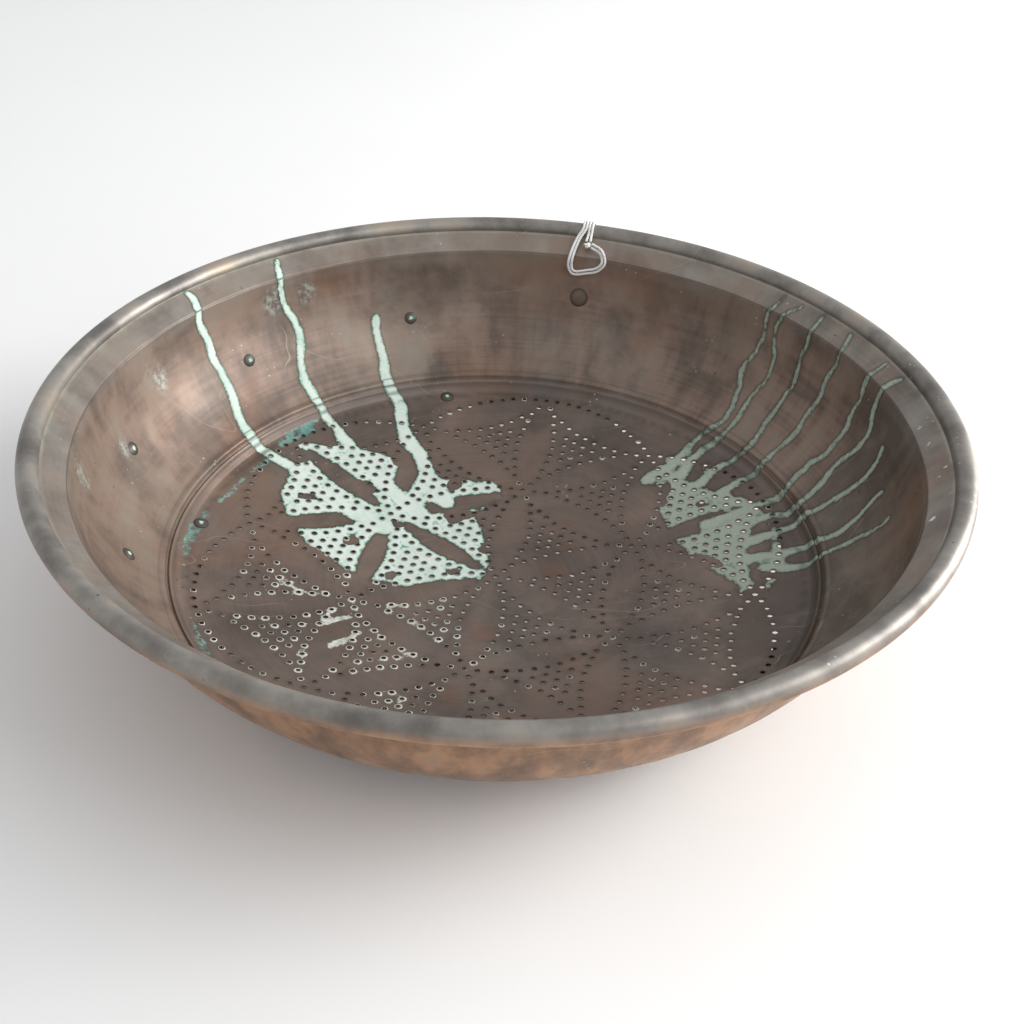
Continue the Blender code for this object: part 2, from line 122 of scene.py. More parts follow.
# ---- rivets, as in the CAD: azimuths in degrees, drops below the wire's centre ----
RIVET_ROW, RIVET_ROW_DROP = 3, 0.0580
RIVET_ROW_AZ, RIVET_ROW_STEP = 107.0, 32.0
LOW_RIVET_AZ, LOW_RIVET_DROP = 193.0, 0.0760
FLOOR_RIVET_R = 0.1955
FLOOR_RIVET_MID, FLOOR_RIVET_SPREAD = 138.0, 36.0
HANG_DROP = 0.0417
WALL_HEAD_R, FLOOR_HEAD_R, HANG_HEAD_R = 0.0046, 0.0050, 0.0070
DOME, FLOOR_DOME = 0.0011, 0.0012   # height of the heads
RIVET_GREEN = 1.8                   # mm of verdigris round a small rivet's middle
WALL_RIVETS = [(RIVET_ROW_AZ + RIVET_ROW_STEP * i, RIVET_ROW_DROP) for i in range(RIVET_ROW)]
WALL_RIVETS.append((LOW_RIVET_AZ, LOW_RIVET_DROP))

# ---- verdigris: it runs down two sides of the bowl and dries on the floor ----
# paleness is partly a thinner, greyer deposit and partly painted shade: the side away from the lamps
# gets darker verdigris
Runs = namedtuple("Runs", "count az_from az_to late wall_width floor_width end_r paleness")
Patch = namedtuple("Patch", "azimuth r reach")
PALE_SIDE = Runs(3, 115.0, 146.0, 1, 0.0029, 0.0070, 0.085, 1.0)
DULL_SHADED_SIDE = Runs(9, -5.0, 43.0, 3, 0.0020, 0.0052, 0.160, 0.5)
Pool = namedtuple("Pool", "start end swell paleness")
POOLS = (Pool(Patch(141.0, 0.170, 0.018), Patch(160.0, 0.034, 0.026), 0.036, 1.0),
         Pool(Patch(122.0, 0.095, 0.020), Patch(96.0, 0.092, 0.012), 0.004, 1.0),
         # the third pool, on the side away from the lamps, is half as pale: partly a thinner deposit,
         # partly painted shade
         Pool(Patch(42.0, 0.168, 0.013), Patch(-5.0, 0.172, 0.020), 0.015, 0.5))
POOL_PARTS = 7
CLING = 0.0054                      # a pool reaches this far from each hole's centre
CRUST = Patch(213.0, 0.110, 0.085)  # where white crust gathers round the holes
STAIN_SEED = 11
RUN_POINTS = 12
RUN_BEND = 0.035                    # length of the bends in a run
RUN_SWAY = 2.4                      # degrees
RUN_SLANT = 3.0                     # degrees, over a run's whole length
RUN_JITTER = 2.0                    # degrees
RUN_TOP, LATE_RUN_TOP = 0.003, (0.035, 0.075)    # drops where runs begin
RUN_END_SPREAD, RUN_WIDTH_SPREAD = (0.92, 1.12), (0.8, 1.2)
RUN_FOOT = 1.3                      # how much wider a run is at the foot of the wall
BROAD_WANDER = 0.016, 0.0026, 3.0   # size and reach of a stain's unevenness, and its seed
FINE_WANDER = 0.0052, 0.0010, 8.0
CLING_WANDER = 0.0052, 0.0008, 21.0
ISLAND = 0.020                      # size of the bare islands in a pool
ISLAND_FROM, ISLAND_CUT = 0.22, 0.130
NO_STAIN = -0.03                    # depth far outside any stain
HOLE_CRUST, DIMPLE_CRUST, THIN_CRUST = 2.4, -0.4, -2.0
NO_CRUST = -3.0
CRUST_DEPTH = 0.00022               # how far a full deposit stands up
WALL_VERDIGRIS, FLOOR_VERDIGRIS = 0.00028, 0.00030
RAG = 3.4                           # mm by which noise frays a stain's edge
FAR = -9.0                          # mm outside a stain, where none of it shows
DEPTH_MARKS = "verdigris", "lime", "turquoise", "orange"
# Of these shares, the groove mark is painted shade and the edge mark a painted highlight; the pale
# share is partly painted shade.
SHARE_MARKS = "pale", "bloom", "groove", "film", "edge", "bead", "outer"

# ---- the view: distance and angles of the camera about the rim's centre ----
VIEW_LENS = 49.2
VIEW_DISTANCE = 3.023 * RIM_R
VIEW_ELEVATION = math.radians(31.29)
VIEW_YAW, VIEW_PITCH, VIEW_ROLL = (math.radians(a) for a in (0.59, 4.05, -1.63))

# ---- the studio: a pale world and two soft lamps, low on the right as in daylight ----
Lamp = namedtuple("Lamp", "name place target size power colour")
SKY_COLOUR, SKY_STRENGTH = (0.97, 0.98, 1.0), 0.66
LAMPS = (Lamp("window", (2.3, 0.60, 0.72), (0.0, 0.0, 0.05), 1.3, 66.0, (1.0, 0.99, 0.97)),
         Lamp("top_fill", (2.3, -0.7, 1.8), (0.0, -0.1, 0.0), 2.2, 40.0, (0.98, 0.99, 1.0)))
PAPER_HALF, PAPER_BELOW = 9.0, 0.0002


# ---- profile of the bowl ----

def wall_curve(t):
    low = np.array((SEAM_R, RIM_Z - SEAM_DROP))
    high = np.array((CREASE_R, RIM_Z - CREASE_DROP))
    chord = (high - low) / np.linalg.norm(high - low)
    pull = (low + high) / 2 + np.array((chord[1], -chord[0])) * 2 * WALL_BELLY
    return low * (1 - t) ** 2 + pull * 2 * t * (1 - t) + high * t ** 2


def floor_height(r):
    rise = RIM_Z - FLOOR_DROP - SHEET
    return SHEET + rise * np.maximum(0.0, r * r - REST_R ** 2) / (FLOOR_R ** 2 - REST_R ** 2)


def floor_slope(r):
    return 2 * r * (RIM_Z - FLOOR_DROP - SHEET) / (FLOOR_R ** 2 - REST_R ** 2)


COLLAR_LENGTH = math.hypot(SEAM_R - FLOOR_R, FLOOR_DROP - SEAM_DROP)
WALL_TS = np.linspace(0.0, 1.0, 200)
WALL_LINE = np.array([wall_curve(t) for t in WALL_TS])
WALL_ARC = np.concatenate(([0.0], np.cumsum(np.linalg.norm(np.diff(WALL_LINE, axis=0), axis=1))))
SEAM_MAP = FLOOR_R + COLLAR_LENGTH
CREASE_MAP = SEAM_MAP + WALL_ARC[-1]


def roll_point(degrees):
    angle = math.radians(degrees)
    return np.array((BEAD_RING_R + BEAD_R * math.cos(angle), RIM_Z + BEAD_R * math.sin(angle)))


JOIN_MAP = CREASE_MAP + np.linalg.norm(roll_point(ROLL_JOIN_DEG) - WALL_LINE[-1])


def map_radius(drop):
    """Distance from the axis on the flat map, for a drop in metres below the wire's centre."""
    arc = np.interp(RIM_Z - drop, WALL_LINE[:, 1], WALL_ARC)
    above = (CREASE_DROP - drop) / CREASE_DROP * (JOIN_MAP - CREASE_MAP)
    return CREASE_MAP + above if drop < CREASE_DROP else SEAM_MAP + arc


def resample(points, marks):
    """Points along a run of straight stretches, closer together near the marked arc lengths."""
    points = np.array(points)
    arc = np.concatenate(([0.0], np.cumsum(np.linalg.norm(np.diff(points, axis=0), axis=1))))
    spots, at = [0.0], 0.0
    while at < arc[-1]:
        near = min((abs(at - m) for m in marks), default=1.0)
        at += FINE_STEP if near < FINE_REACH else WALL_STEP
        spots.append(min(at, arc[-1]))
    spots = np.array(spots)
    return np.column_stack([np.interp(spots, arc, points[:, i]) for i in (0, 1)]), spots


def hump(x, centre, width, height):
    return height * np.exp(-((x - centre) / width) ** 2)


def hump_at(x, start, form):
    offset, width, height = form
    return hump(x, start + offset, width, height)


def wall_face():
    """The wall's inside face from lip to tucked edge: points, and distance on the flat map."""
    collar = np.array((SEAM_R - FLOOR_R, FLOOR_DROP - SEAM_DROP))
    collar /= np.linalg.norm(collar)
    under = np.array((collar[1], -collar[0])) * (SHEET + GAP)
    start = LIP_R, floor_height(LIP_R) - (SHEET + GAP) * math.hypot(1, floor_slope(LIP_R))
    bend_r = FLOOR_R + under[0] * 0.75
    bend = bend_r, floor_height(bend_r) - (SHEET + GAP) * math.hypot(1, floor_slope(bend_r))
    top = SEAM_R + under[0], RIM_Z - SEAM_DROP + under[1]
    hidden = [np.array(p) for p in (start, bend, top)]
    hidden_arc = sum(np.linalg.norm(b - a) for a, b in zip(hidden, hidden[1:]))
    run = hidden + [p for p, t in zip(WALL_LINE, WALL_TS) if t > 0.035]
    join_arc = hidden_arc + (JOIN_MAP - SEAM_MAP)
    crease_arc = hidden_arc + (CREASE_MAP - SEAM_MAP)
    run += [roll_point(ROLL_JOIN_DEG + (ROLL_TUCK_DEG - ROLL_JOIN_DEG) * i / 60)
            for i in range(61)]
    marks = (hidden_arc + 0.003, hidden_arc + 0.006, crease_arc, join_arc)
    points, arc = resample(run, marks)
    return points, arc - hidden_arc + SEAM_MAP


# ---- stains on the flat map ----

def wander(points, size, reach, seed):
    """Moves map points by smooth noise, so that straight layouts get a natural edge."""
    shift = np.empty_like(points)
    for i, (x, y) in enumerate(points):
        p = Vector((x / size, y / size, seed))
        shift[i] = noise.noise(p), noise.noise(p + Vector((17.3, 5.1, 2.9)))
    return points + shift * reach


def run_depth(points, line, wide_from, wide_to):
    """How far each point is inside a run that follows the line, negative outside."""
    line = np.array(line, float)
    lengths = np.linalg.norm(np.diff(line, axis=0), axis=1)
    along = np.concatenate(([0.0], np.cumsum(lengths))) / lengths.sum()
    best = np.full(len(points), -1.0)
    for a, b, s, e in zip(line, line[1:], along, along[1:]):
        way = b - a
        t = np.clip(((points - a) @ way) / (way @ way), 0, 1)
        gap = np.linalg.norm(points - (a + t[:, None] * way), axis=1)
        share = s + (e - s) * t
        best = np.maximum(best, wide_from + (wide_to - wide_from) * share - gap)
    return best


def polar_point(azimuth, radius):
    return radius * math.cos(math.radians(azimuth)), radius * math.sin(math.radians(azimuth))


def run_lines(runs, rng):
    """Every run of one side as two stretches: down the wall, then on over the floor."""
    lines = []
    for i, azimuth in enumerate(np.linspace(runs.az_from, runs.az_to, runs.count)):
        azimuth += rng.uniform(-RUN_JITTER, RUN_JITTER)
        top = map_radius(rng.uniform(*LATE_RUN_TOP) if i < runs.late else RUN_TOP)
        end = runs.end_r * rng.uniform(*RUN_END_SPREAD)
        phase, slant = rng.uniform(0, 100), rng.uniform(0.3, 1.0) * RUN_SLANT
        width = runs.wall_width * rng.uniform(*RUN_WIDTH_SPREAD)
        for start, stop, wide_to in ((top, FLOOR_R, width * RUN_FOOT),
                                     (FLOOR_R, end, runs.floor_width)):
            line = []
            for r in np.linspace(start, stop, RUN_POINTS):
                sway = RUN_SWAY * noise.noise(Vector((r / RUN_BEND, phase, 0.0)))
                turn = slant * (top - r) / (top - end)
                line.append(polar_point(azimuth + sway + turn, r))
            lines.append((line, width, wide_to, runs.paleness))
            width = wide_to
    return lines


def pool_patches(pool):
    """A pool as a chain of round patches, widest half-way."""
    a, b = (np.array(polar_point(p.azimuth, p.r)) for p in (pool.start, pool.end))
    found = []
    for share in np.linspace(0, 1, POOL_PARTS):
        reach = pool.start.reach * (1 - share) + pool.end.reach * share
        found.append((a + (b - a) * share, reach + pool.swell * math.sin(math.pi * share)))
    return found


def nearest_hole(points):
    """Distance from each map point to the middle of the nearest hole."""
    return np.array([np.linalg.norm(HOLES - p, axis=1).min() if np.hypot(*p) < FLOOR_R else 1.0
                     for p in points])


def streaks(rng, count, azimuths, radii, width, turn, climb=0.0):
    """Short lines spread by chance: each covers `turn` degrees round and `climb` outwards."""
    found = []
    for _ in range(count):
        azimuth, r = rng.uniform(*azimuths), rng.uniform(*radii)
        share = rng.uniform(0.4, 1.0)
        ends = polar_point(azimuth, r), polar_point(azimuth + turn * share, r + climb * share)
        found.append((ends, width * rng.uniform(0.6, 1.4)))
    return found


def patches(rng, count, azimuths, radii, reaches):
    return [(polar_point(rng.uniform(*azimuths), rng.uniform(*radii)), rng.uniform(*reaches))
            for _ in range(count)]


def lay_out_stains():
    rng = np.random.default_rng(STAIN_SEED)
    runs = run_lines(PALE_SIDE, rng) + run_lines(DULL_SHADED_SIDE, rng)
    band = map_radius(0.010), map_radius(0.003)
    return {
        "runs": runs,
        "pools": [(pool_patches(pool), pool.paleness) for pool in POOLS],
        "lime": streaks(rng, 6, (-22.0, 5.0), band, width=0.0015, turn=0.5, climb=0.004)
        + streaks(rng, 3, (208.0, 222.0), (0.095, 0.115), width=0.0020, turn=2.0, climb=0.030),
        "turquoise": streaks(rng, 5, (130.0, 160.0), (0.190, 0.203), width=0.0022, turn=10.0)
        + streaks(rng, 6, (165.0, 285.0), (0.195, 0.203), width=0.0014, turn=14.0),
        "orange": patches(rng, 10, (0.0, 360.0), (0.020, 0.150), (0.005, 0.015)),
        "bloom": patches(rng, 9, (110.0, 250.0), (map_radius(0.095), map_radius(0.015)),
                         (0.009, 0.017)),
    }


STAIN_LAYOUT = lay_out_stains()


def deepest(points, lines):
    best = np.full(len(points), NO_STAIN)
    for line, width in lines:
        best = np.maximum(best, run_depth(points, line, width, width))
    return best


def gap_to(points, centre):
    return np.linalg.norm(points - np.array(centre), axis=1)


def patch_depth(points, chain):
    best = np.full(len(points), NO_STAIN)
    for centre, reach in chain:
        best = np.maximum(best, reach - gap_to(points, centre))
    return best


def stains(points):
    """Depth of each stain in mm at map points, with its paleness, and the bloom from 0 to 1."""
    crooked = wander(wander(points, *BROAD_WANDER), *FINE_WANDER)
    green = np.full(len(points), NO_STAIN)
    pale = np.zeros(len(points))
    for line, wide_from, wide_to, tone in STAIN_LAYOUT["runs"]:
        depth = run_depth(crooked, line, wide_from, wide_to)
        pale = np.where(depth > green, tone, pale)
        green = np.maximum(green, depth)
    # a pool clings to the pierced parts, in a lobe round each hole, and leaves the petals bare
    cling = CLING - nearest_hole(wander(points, *CLING_WANDER))
    island = np.array([noise.noise(Vector((x, y, 0.0)) / ISLAND) for x, y in points])
    worn = ISLAND_CUT * np.maximum(0.0, island - ISLAND_FROM)
    for chain, tone in STAIN_LAYOUT["pools"]:
        pool = np.minimum(patch_depth(crooked, chain) - worn, cling)
        pale = np.where(pool > green, tone, pale)
        green = np.maximum(green, pool)
    orange = patch_depth(crooked, STAIN_LAYOUT["orange"])
    bloom = np.zeros(len(points))
    for centre, reach in STAIN_LAYOUT["bloom"]:
        bloom = np.maximum(bloom, np.clip(1 - gap_to(crooked, centre) / reach, 0, 1))
    return {"verdigris": green / MM, "pale": pale, "bloom": bloom, "orange": orange / MM,
            "lime": deepest(crooked, STAIN_LAYOUT["lime"]) / MM,
            "turquoise": deepest(crooked, STAIN_LAYOUT["turquoise"]) / MM}


def crust_at(points):
    """How strongly white crust gathers round a hole, from 0 to 1, in uneven groups."""
    near = 1.15 - gap_to(points, polar_point(CRUST.azimuth, CRUST.r)) / CRUST.reach
    groups = np.array([noise.noise(Vector((x, y, 4.0)) / CRUST.reach * 3) for x, y in points])
    return np.clip(near - 0.15 + 0.8 * groups, 0, 1)


def no_marks(count, **given):
    """Every mark for `count` points, with nothing showing except what is given."""
    marks = {key: np.full(count, FAR) for key in DEPTH_MARKS}
    marks.update({key: np.zeros(count) for key in SHARE_MARKS})
    return {**marks, **given}


# ---- meshes ----

def new_object(name, verts, faces, attributes=None, smooth=True):
    mesh = bpy.data.meshes.new(name)
    mesh.from_pydata([tuple(v) for v in verts], [], faces)
    for key, values in (attributes or {}).items():
        layer = mesh.attributes.new(key, "FLOAT", "POINT")
        layer.data.foreach_set("value", np.asarray(values, np.float32))
    mesh.update()
    if smooth:
        mesh.shade_smooth()
    obj = bpy.data.objects.new(name, mesh)
    bpy.context.scene.collection.objects.link(obj)
    return obj


def face_outwards(obj, merge=0.0):
    """Turns every face outwards, after merging points closer together than `merge`."""
    shape = bmesh.new()
    shape.from_mesh(obj.data)
    if merge:
        bmesh.ops.remove_doubles(shape, verts=shape.verts[:], dist=merge)
    bmesh.ops.recalc_face_normals(shape, faces=shape.faces[:])
    shape.to_mesh(obj.data)
    shape.free()


def ring_faces(rows, steps, closed):
    """Quads of a turned surface whose vertex number is row * steps + step."""
    faces = []
    for i in range(rows if closed else rows - 1):
        a, b = i * steps, ((i + 1) % rows) * steps
        for j in range(steps):
            k = (j + 1) % steps
            faces.append((a + j, b + j, b + k, a + k))
    return faces


def hammered(x, y, z, size, depth):
    """Shallow round marks left by a hammer, as a displacement at each point."""
    out = np.empty(len(x))
    for i in range(len(x)):
        p = Vector((x[i], y[i], z[i])) / size
        out[i] = noise.noise(p) + 0.5 * noise.noise(p * 2.3 + Vector((3.1, 7.7, 1.3)))
    return out * depth


def make_wall():
    points, mapped = wall_face()
    way = np.gradient(points, axis=0)
    way /= np.linalg.norm(way, axis=1)[:, None]
    normal = np.column_stack((way[:, 1], -way[:, 0]))
    lift = hump_at(mapped, SEAM_MAP, SEAM_RIDGE)
    lift -= hump_at(mapped, CREASE_MAP, CREASE_GROOVE)
    lift += hump_at(mapped, JOIN_MAP, JOIN_RIDGE)
    rows = len(points)
    angle = np.linspace(0, 2 * math.pi, STEPS, endpoint=False)
    cos, sin = np.cos(angle), np.sin(angle)
    r, z = np.repeat(points[:, 0], STEPS), np.repeat(points[:, 1], STEPS)
    x, y = r * np.tile(cos, rows), r * np.tile(sin, rows)
    arc = np.repeat(mapped, STEPS)
    open_wall = np.clip((arc - SEAM_MAP - 0.004) / 0.01, 0, 1)
    open_wall *= np.clip((JOIN_MAP - arc) / 0.01, 0.25, 1)
    dent = hammered(x, y, z, *WALL_HAMMER) * open_wall
    flat = np.column_stack((arc * np.tile(cos, rows), arc * np.tile(sin, rows)))
    marks = stains(flat)
    thick = np.clip(marks["verdigris"] / 2.0, 0, 1) * WALL_VERDIGRIS * (arc < JOIN_MAP)
    n_r, n_z = np.repeat(normal[:, 0], STEPS), np.repeat(normal[:, 1], STEPS)
    rise = np.repeat(lift, STEPS)

    def shifted(amount):
        rr = r + n_r * amount
        return np.column_stack((rr * np.tile(cos, rows), rr * np.tile(sin, rows),
                                z + n_z * amount))

    inside = shifted(dent - rise - thick)
    outside = shifted(SHEET + dent)
    verts = np.concatenate((inside, outside.reshape(rows, STEPS, 3)[::-1].reshape(-1, 3)))
    # painted shade: this mask darkens the wall along the floor's seam, just above its ridge and in
    # the crease
    seam_shade = np.clip(1 - np.abs(arc - SEAM_MAP - 0.0018) / 0.0014, 0, 1)
    seam_shade = np.maximum(seam_shade, hump(arc, CREASE_MAP, 0.0006, 1.0))
    seam_shade = np.maximum(seam_shade, hump(arc, SEAM_MAP + 0.0074, 0.0009, 0.35))
    film = np.clip((arc - CREASE_MAP + 0.001) / 0.0015, 0, 1)
    film = np.maximum(film, hump(arc, CREASE_MAP - 0.004, 0.004, 0.5))
    film = np.where(arc > JOIN_MAP + 0.001, 0, film)
    # painted highlight: a thin light line just below the bead's join
    edge = hump(arc, JOIN_MAP - 0.0010, 0.0009, 1.0)
    bead = np.clip((arc - JOIN_MAP) / 0.0012, 0, 1)
    turned_under = np.clip((arc - JOIN_MAP - TUCKED_FROM) / TUCKED_OVER, 0, 1)
    inner = {**marks, "groove": seam_shade, "film": film, "edge": edge, "bead": bead,
             "outer": turned_under}
    for key in DEPTH_MARKS:
        inner[key] = np.where(arc > JOIN_MAP + 0.0035, FAR, inner[key])
    outer_arc = arc.reshape(rows, STEPS)[::-1].ravel()
    # outside: painted shade under the bead's join, and a painted highlight line along the crease
    outer = no_marks(len(arc), groove=hump(outer_arc, JOIN_MAP, 0.0012, 0.8),
                     edge=hump(outer_arc, CREASE_MAP, 0.0012, 0.6), outer=np.ones(len(arc)),
                     bead=np.clip((outer_arc - JOIN_MAP) / 0.001, 0, 1))
    attributes = {k: np.concatenate((inner[k], outer[k])) for k in inner}
    obj = new_object("copper_wall", verts, ring_faces(2 * rows, STEPS, True), attributes)
    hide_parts("bowl_wall")
    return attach(obj, "bowl")


# ---- pierced floor ----

def net_point(i, j):
    second = NET_TURN + math.pi / 3
    return Vector((math.cos(NET_TURN) * i + math.cos(second) * j,
                   math.sin(NET_TURN) * i + math.sin(second) * j)) * NET


def net_triangles():
    triangles = []
    for i in range(-2, 2):
        for j in range(-2, 2):
            a, b, c, d = (i, j), (i + 1, j), (i, j + 1), (i + 1, j + 1)
            for corners in ((a, b, c), (b, d, c)):
                if all(abs(p + q) <= 2 for p, q in corners):
                    triangles.append([net_point(p, q) for p, q in corners])
    return triangles


def arc_points(start, end, centre, count):
    spoke = start - centre
    turned = spoke.angle_signed(end - centre)
    return [centre + Matrix.Rotation(-turned * i / count, 2) @ spoke for i in range(1, count)]


def inside_arcs(point, corners, margin):
    a, b, c = corners
    return all((point - centre).length > NET + margin for centre in (a + b - c, b + c - a, c + a - b))


def hole_centres(row):
    """Holes along every arc, between the arcs of every triangle, and along the outer arcs."""
    step = NET / row
    centres = []

    def add(point, room):
        if all((point - other).length > room for other in centres):
            centres.append(point)

    for i in range(-2, 3):
        for j in range(-2, 3):
            if abs(i + j) <= 2:
                add(net_point(i, j), step * 0.5)
    for corners in net_triangles():
        sides = []
        for k in range(3):
            a, b, c = corners[k], corners[(k + 1) % 3], corners[(k + 2) % 3]
            sides.append(arc_points(a, b, a + b - c, row))
        for k in range(3):
            near, far = sides[k], sides[(k + 2) % 3][::-1]
            for m in range(row // 2):
                if (near[m] - far[m]).length < step * 0.75:
                    add((near[m] + far[m]) / 2, step * 0.7)
        for side in sides:
            for point in side[1:-1]:
                add(point, step * 0.75)
        for m in range(1, row):
            for n in range(1, row - m):
                weights = (m / row, n / row, 1 - (m + n) / row)
                point = sum((c * w for c, w in zip(corners, weights)), Vector((0.0, 0.0)))
                if inside_arcs(point, corners, step * 0.7):
                    add(point, step * 0.7)
    for k in range(6):
        hub = Matrix.Rotation(math.radians(60 * k), 2) @ net_point(1, 0)
        for m in range(2 * row + 1):
            angle = NET_TURN + math.radians(60 * k - 60 + 60 * m / row)
            add(hub + Vector((math.cos(angle), math.sin(angle))) * NET, step * 0.6)
    return centres


HOLES = np.array([tuple(c) for c in hole_centres(ROW)])


def circle(centre, radius, count, turn=0.0):
    angles = turn + np.arange(count) * 2 * math.pi / count
    return centre + radius * np.column_stack((np.cos(angles), np.sin(angles)))


def make_floor():
    rng = np.random.default_rng(HOLE_SEED)
    centres = HOLES + rng.normal(0, HOLE_SHIFT, HOLES.shape)
    bend = circle(np.zeros(2), FLOOR_R, EDGE_STEPS)
    points, loops, kinds = [bend], [list(range(EDGE_STEPS))], [0] * EDGE_STEPS
    owners = [-1] * EDGE_STEPS
    total = EDGE_STEPS
    for n, centre in enumerate(centres):
        size = HOLE_R * (1 + rng.normal(0, HOLE_SPREAD))
        hole = circle(centre, size, HOLE_SIDES, rng.uniform(0, 1))
        ring = circle(centre, DIMPLE_R, HOLE_SIDES, rng.uniform(0, 1))
        points += [hole, ring]
        loops.append(list(range(total, total + HOLE_SIDES)))
        kinds += [1] * HOLE_SIDES + [2] * HOLE_SIDES
        owners += [n] * (2 * HOLE_SIDES)
        total += 2 * HOLE_SIDES
    grid = []
    rows = int(FLOOR_R / (MESH_STEP * 0.87)) + 1
    for i in range(-rows, rows + 1):
        for j in range(-rows - 8, rows + 9):
            grid.append(((j + 0.5 * (i % 2)) * MESH_STEP, i * MESH_STEP * 0.87))
    grid = np.array(grid)
    grid = grid[np.linalg.norm(grid, axis=1) < FLOOR_R - 0.6 * MESH_STEP]
    clear = np.array([np.min(np.linalg.norm(centres - g, axis=1)) for g in grid])
    grid = grid[clear > DIMPLE_R + 0.0012]
    points.append(grid)
    kinds += [0] * len(grid)
    owners += [-1] * len(grid)
    flat = np.concatenate(points)
    scaled = [Vector(p) for p in flat / MM]
    edges = [(loop[i], loop[(i + 1) % len(loop)]) for loop in loops for i in range(len(loop))]
    verts, _, faces, origins, _, _ = geometry.delaunay_2d_cdt(scaled, edges, [], 0, 1e-4)
    source = [o[0] if o else -1 for o in origins]
    flat = np.array([tuple(v) for v in verts]) * MM
    kinds = np.array([kinds[s] if s >= 0 else 0 for s in source])
    owners = np.array([owners[s] if s >= 0 else -1 for s in source])

    def in_hole(face):
        first = owners[face[0]]
        return first >= 0 and all(kinds[v] == 1 and owners[v] == first for v in face)

    faces = [tuple(f) for f in faces if not in_hole(f)]
    made_from = {s: i for i, o in enumerate(origins) for s in o}
    loops = [[made_from[k] for k in loop] for loop in loops]

    radius = np.linalg.norm(flat, axis=1)
    dent = hammered(flat[:, 0], flat[:, 1], radius * 0, *FLOOR_HAMMER) * (radius < 0.19)
    dent *= np.clip(radius / REST_R, 0, 1) ** 2
    height = floor_height(radius) + dent
    below = np.maximum(0.0, height - SHEET * np.hypot(1, floor_slope(radius)))
    away = np.where((kinds == 1)[:, None], flat - centres[owners], 0.0)
    flared = flat + away * HOLE_FLARE / HOLE_R
    burr = np.abs(rng.normal(BURR, BURR_SPREAD, len(centres)))
    height += np.where(kinds == 1, burr[owners], 0.0)
    height += hump_at(radius, FLOOR_R, FLOOR_RIDGE)
    marks = stains(flat)
    height += np.clip(marks["verdigris"] / 2.0, 0, 1) * FLOOR_VERDIGRIS
    crust = crust_at(flat)
    chance = rng.uniform(0.0, 1.0, len(centres))[owners] * (owners >= 0)
    ringed = np.where(kinds == 1, HOLE_CRUST, np.where(kinds == 2, DIMPLE_CRUST, THIN_CRUST))
    gathered = np.where(owners >= 0, ringed + (crust + chance - 1.15) * 2.6, NO_CRUST)
    gathered = np.where(crust > 0.02, gathered, np.where(chance > 0.9, ringed - 1.2, NO_CRUST))
    marks["lime"] = np.maximum(marks["lime"], gathered)
    height += np.clip(gathered / 2, 0, 1) * CRUST_DEPTH
    # painted shade round the holes: full at each hole's edge, a quarter on the dent round it
    hole_shade = np.where(kinds == 1, 1.0, np.where(kinds == 2, 0.25, 0.0))

    # the collar, continued from the bend
    back = np.array((FLOOR_DROP - SEAM_DROP, FLOOR_R - SEAM_R)) / COLLAR_LENGTH * SHEET
    verts3 = [np.column_stack((flat, height))]
    under = [np.column_stack((flared, below))]
    masks = {k: [v] for k, v in marks.items()}
    # painted shade near the floor's bend and round the holes
    groove = [np.maximum(hole_shade * 0.5, hump_at(radius, FLOOR_R, (-0.0042, 0.0014, 0.5)))]
    film = [np.zeros(len(flat))]
    previous = loops[0]
    spokes = circle(np.zeros(2), 1.0, EDGE_STEPS)
    count = len(flat)
    for i in range(1, COLLAR_ROWS + 1):
        share = i / COLLAR_ROWS
        r = FLOOR_R + (SEAM_R - FLOOR_R) * share
        z = RIM_Z - FLOOR_DROP + (FLOOR_DROP - SEAM_DROP) * share
        ridge = hump(share, 0.86, 0.12, 0.0004) - hump(share, 0.45, 0.2, 0.0002)
        r, z = r - ridge * 0.8, z + ridge * 0.6
        for key, value in stains((FLOOR_R + COLLAR_LENGTH * share) * spokes).items():
            masks[key].append(value)
        # painted shade in the hollow of the collar
        groove.append(np.full(EDGE_STEPS, 0.35 * math.exp(-((share - 0.5) / 0.25) ** 2)))
        film.append(np.full(EDGE_STEPS, 0.35 * math.exp(-((share - 0.9) / 0.15) ** 2)))
        verts3.append(np.column_stack((r * spokes, np.full(EDGE_STEPS, z))))
        under.append(np.column_stack(((r + back[0]) * spokes, np.full(EDGE_STEPS, z + back[1]))))
        ids = list(range(count, count + EDGE_STEPS))
        for j in range(EDGE_STEPS):
            k = (j + 1) % EDGE_STEPS
            faces.append((previous[j], previous[k], ids[k], ids[j]))
        previous = ids
        count += EDGE_STEPS
    # the underside repeats the top, and walls join them round each hole and the collar's edge
    faces += [tuple(v + count for v in face[::-1]) for face in faces]
    for loop in loops[1:] + [previous]:
        for a, b in zip(loop, loop[1:] + loop[:1]):
            faces.append((a, b, b + count, a + count))
    masks = {k: np.concatenate(v) for k, v in masks.items()}
    above = no_marks(count, groove=np.concatenate(groove), film=np.concatenate(film), **masks)
    bottom = no_marks(count, outer=np.ones(count))
    masks = {k: np.concatenate((above[k], bottom[k])) for k in above}
    obj = new_object("pierced_floor", np.concatenate(verts3 + under), faces, masks)
    face_outwards(obj)
    obj.data.shade_smooth()
    obj.data.set_sharp_from_angle(angle=math.radians(50))
    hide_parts("floor_plate")
    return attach(obj, "bowl")


# ---- rivets ----

